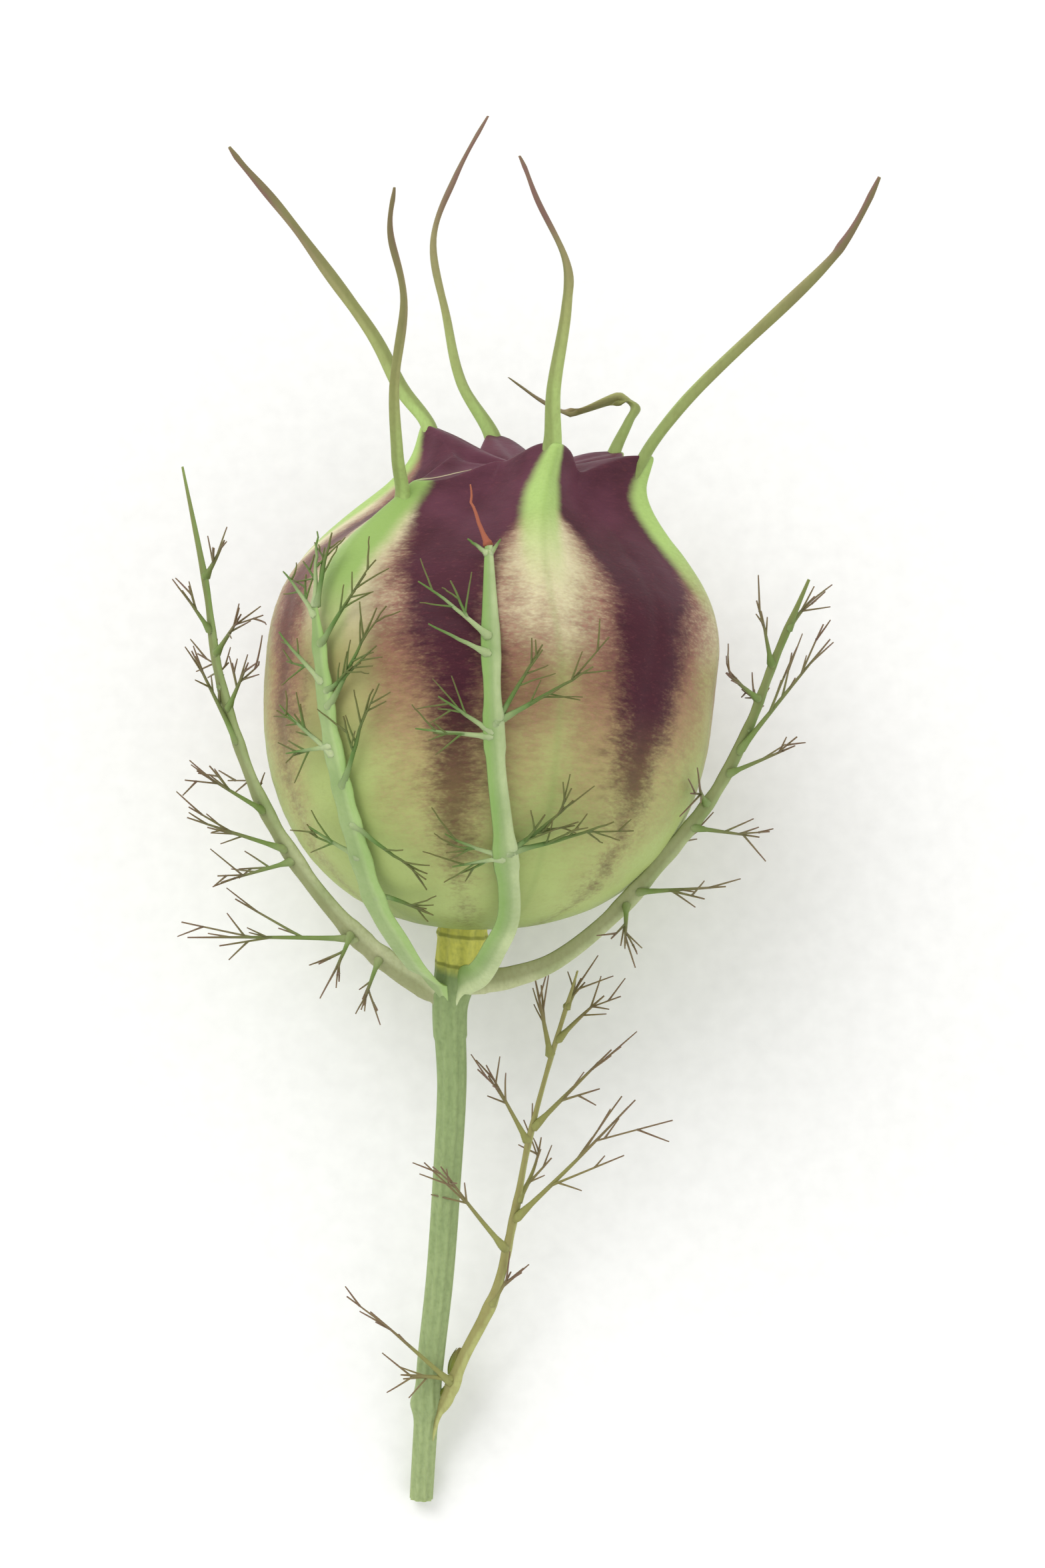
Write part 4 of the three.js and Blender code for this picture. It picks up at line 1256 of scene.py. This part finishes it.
class NIGELLA_OT_stem(bpy.types.Operator):
    """Make the ribbed stem with its leaf node, collar and receptacle"""

    bl_idname = "nigella.stem"
    bl_label = "Stem"

    def execute(self, context):
        settings = context.scene.nigella_stem
        material = tissue_material(
            "stem skin", chosen(settings.green), chosen(settings.upper), chosen(settings.neck),
            srgb(92, 112, 66), self.age, mottle=0.4, tints=((srgb(104, 112, 46), self.rings),))
        line = [at(*p) for p in STEM_LINE]
        line[-1] += at(0, 0, 0.8)  # its end is inside the capsule
        lines = Lines()
        lines.add(evenly(line, 150), self.radius)
        sweep_piece("stem", lines, "stem", {
            "Sides": 90, "Ribs": settings.ribs, "Rib Depth": settings.rib_depth, "Material": material})
        return {"FINISHED"}

    @staticmethod
    def age(tree):
        """The stem darkens slowly as it climbs, and the receptacle at its top has the last colour."""
        return from_root(tree).ramp(0.0, 0.85) * 0.4 + from_root(tree).ramp(0.83, 0.88) * 0.6

    @staticmethod
    def rings(tree):
        """Dark rings round the receptacle, one near its foot and one under the capsule."""
        along = from_root(tree)
        share = along * 0
        for place, width in ((0.874, 0.008), (TOP_RING, 0.007)):
            share = share + (1 - (along - place).do("ABSOLUTE").ramp(0.3 * width, width, True)) * 0.6
        return share

    @staticmethod
    def radius(t):
        """Radius along the stem, with a swelling at the leaf node and a ring on the receptacle."""
        last = len(STEM_RADII) - 1
        lower = min(last - 1, int(t * last))
        place, swelling, length = LEAF_NODE
        node = swelling * bell(t - place, length)
        ring = 0.1 * bell(t - TOP_RING, 0.008)
        slender = 0.93 if t < 0.7 else 1  # a little thinner under the ruff
        return (slender * mix(STEM_RADII[lower], STEM_RADII[lower + 1], t * last - lower) + node + ring) * MM


class NIGELLA_OT_stage(bpy.types.Operator):
    """Lay the table, light it softly and look down square to the stem"""

    bl_idname = "nigella.stage"
    bl_label = "Stage"

    def execute(self, context):
        scene = context.scene
        settings = scene.nigella_stage
        self.table(settings)
        self.lights(scene)
        self.camera(scene, settings)
        scene.view_settings.view_transform = "Standard"
        return {"FINISHED"}

    @staticmethod
    def table(settings):
        half_side = 0.6
        low = CAD_BOX[0][2]
        sheet = bmesh.new()
        bmesh.ops.create_grid(sheet, x_segments=12, y_segments=12, size=half_side)
        mesh = bpy.data.meshes.new("table_top")
        sheet.to_mesh(mesh)
        sheet.free()
        mesh.transform(Matrix.Translation((0, 0, low)))
        material, tree, shader = new_material("table paper", 0.85, 0.0)
        coordinates = tree.nodes.new("ShaderNodeTexCoord").outputs["Object"]
        fibres = noise(tree, coordinates, 900, 3.0)
        colour = chosen(settings.floor)
        tree.links.new(coated(tree, colour, (srgb(240, 240, 238), fibres)), shader.inputs["Base Color"])
        mesh.materials.append(material)
        table = bpy.data.objects.new("table_top", mesh)
        bpy.context.scene.collection.objects.link(table)

    @staticmethod
    def lights(scene):
        world = bpy.data.worlds.new("soft room")
        world.use_nodes = True
        background = world.node_tree.nodes["Background"].inputs
        background["Color"].default_value = (1, 1, 1, 1)
        background["Strength"].default_value = 0.9
        scene.world = world
        for name, place, size, power in (
            ("window light", (-0.28, 0.3, 0.5), 0.4, 1.5), ("fill light", (0.4, -0.25, 0.35), 0.5, 0.3),
        ):
            data = bpy.data.lights.new(name, "AREA")
            data.size, data.energy = size, power
            light = bpy.data.objects.new(name, data)
            light.location = place
            light.rotation_euler = Vector(place).to_track_quat("Z", "Y").to_euler()
            scene.collection.objects.link(light)

    @staticmethod
    def camera(scene, settings):
        low, high = Vector(CAD_BOX[0]), Vector(CAD_BOX[1])
        elevation = math.pi / 2 - lay_tilt(scene.nigella_capsule) + math.radians(settings.lean)
        back = Vector((0, -math.cos(elevation), math.sin(elevation)))
        data = bpy.data.cameras.new("camera")
        data.lens = settings.lens
        tall = (high.y - low.y) / settings.fill
        distance = tall / 2 / (data.sensor_width / 2 / data.lens)
        camera = bpy.data.objects.new("camera", data)
        camera.location = (low + high) / 2 + back * distance
        camera.rotation_euler = back.to_track_quat("Z", "Y").to_euler()
        data.clip_start, data.clip_end = 0.01, 5.0
        scene.collection.objects.link(camera)
        scene.camera = camera


class NIGELLA_PT_panel(bpy.types.Panel):
    """Settings of the pod and a button for each piece"""

    bl_label = "Nigella seed pod"
    bl_idname = "NIGELLA_PT_panel"
    bl_space_type = "VIEW_3D"
    bl_region_type = "UI"
    bl_category = "Nigella"

    def draw(self, context):
        for operator, group in STEPS:
            box = self.layout.box()
            box.operator(operator.bl_idname)
            if group:
                settings = getattr(context.scene, group)
                for name in settings.__annotations__:
                    box.prop(settings, name)


STEPS = (
    (NIGELLA_OT_capsule, "nigella_capsule"),
    (NIGELLA_OT_styles, "nigella_style"),
    (NIGELLA_OT_ruff, "nigella_ruff"),
    (NIGELLA_OT_stem, "nigella_stem"),
    (NIGELLA_OT_bud, None),
    (NIGELLA_OT_stage, "nigella_stage"),
)
GROUPS = {
    "nigella_capsule": CapsuleSettings,
    "nigella_style": StyleSettings,
    "nigella_ruff": RuffSettings,
    "nigella_stem": StemSettings,
    "nigella_stage": StageSettings,
}
CLASSES = (*GROUPS.values(), *(operator for operator, _ in STEPS), NIGELLA_PT_panel)


def register():
    for cls in CLASSES:
        bpy.utils.register_class(cls)
    for name, group in GROUPS.items():
        setattr(bpy.types.Scene, name, PointerProperty(type=group))


def unregister():
    for name in GROUPS:
        delattr(bpy.types.Scene, name)
    for cls in reversed(CLASSES):
        bpy.utils.unregister_class(cls)


def main():
    register()
    for operator, _ in STEPS:
        family, name = operator.bl_idname.split(".")
        getattr(getattr(bpy.ops, family), name)()


if __name__ == "__main__":
    main()
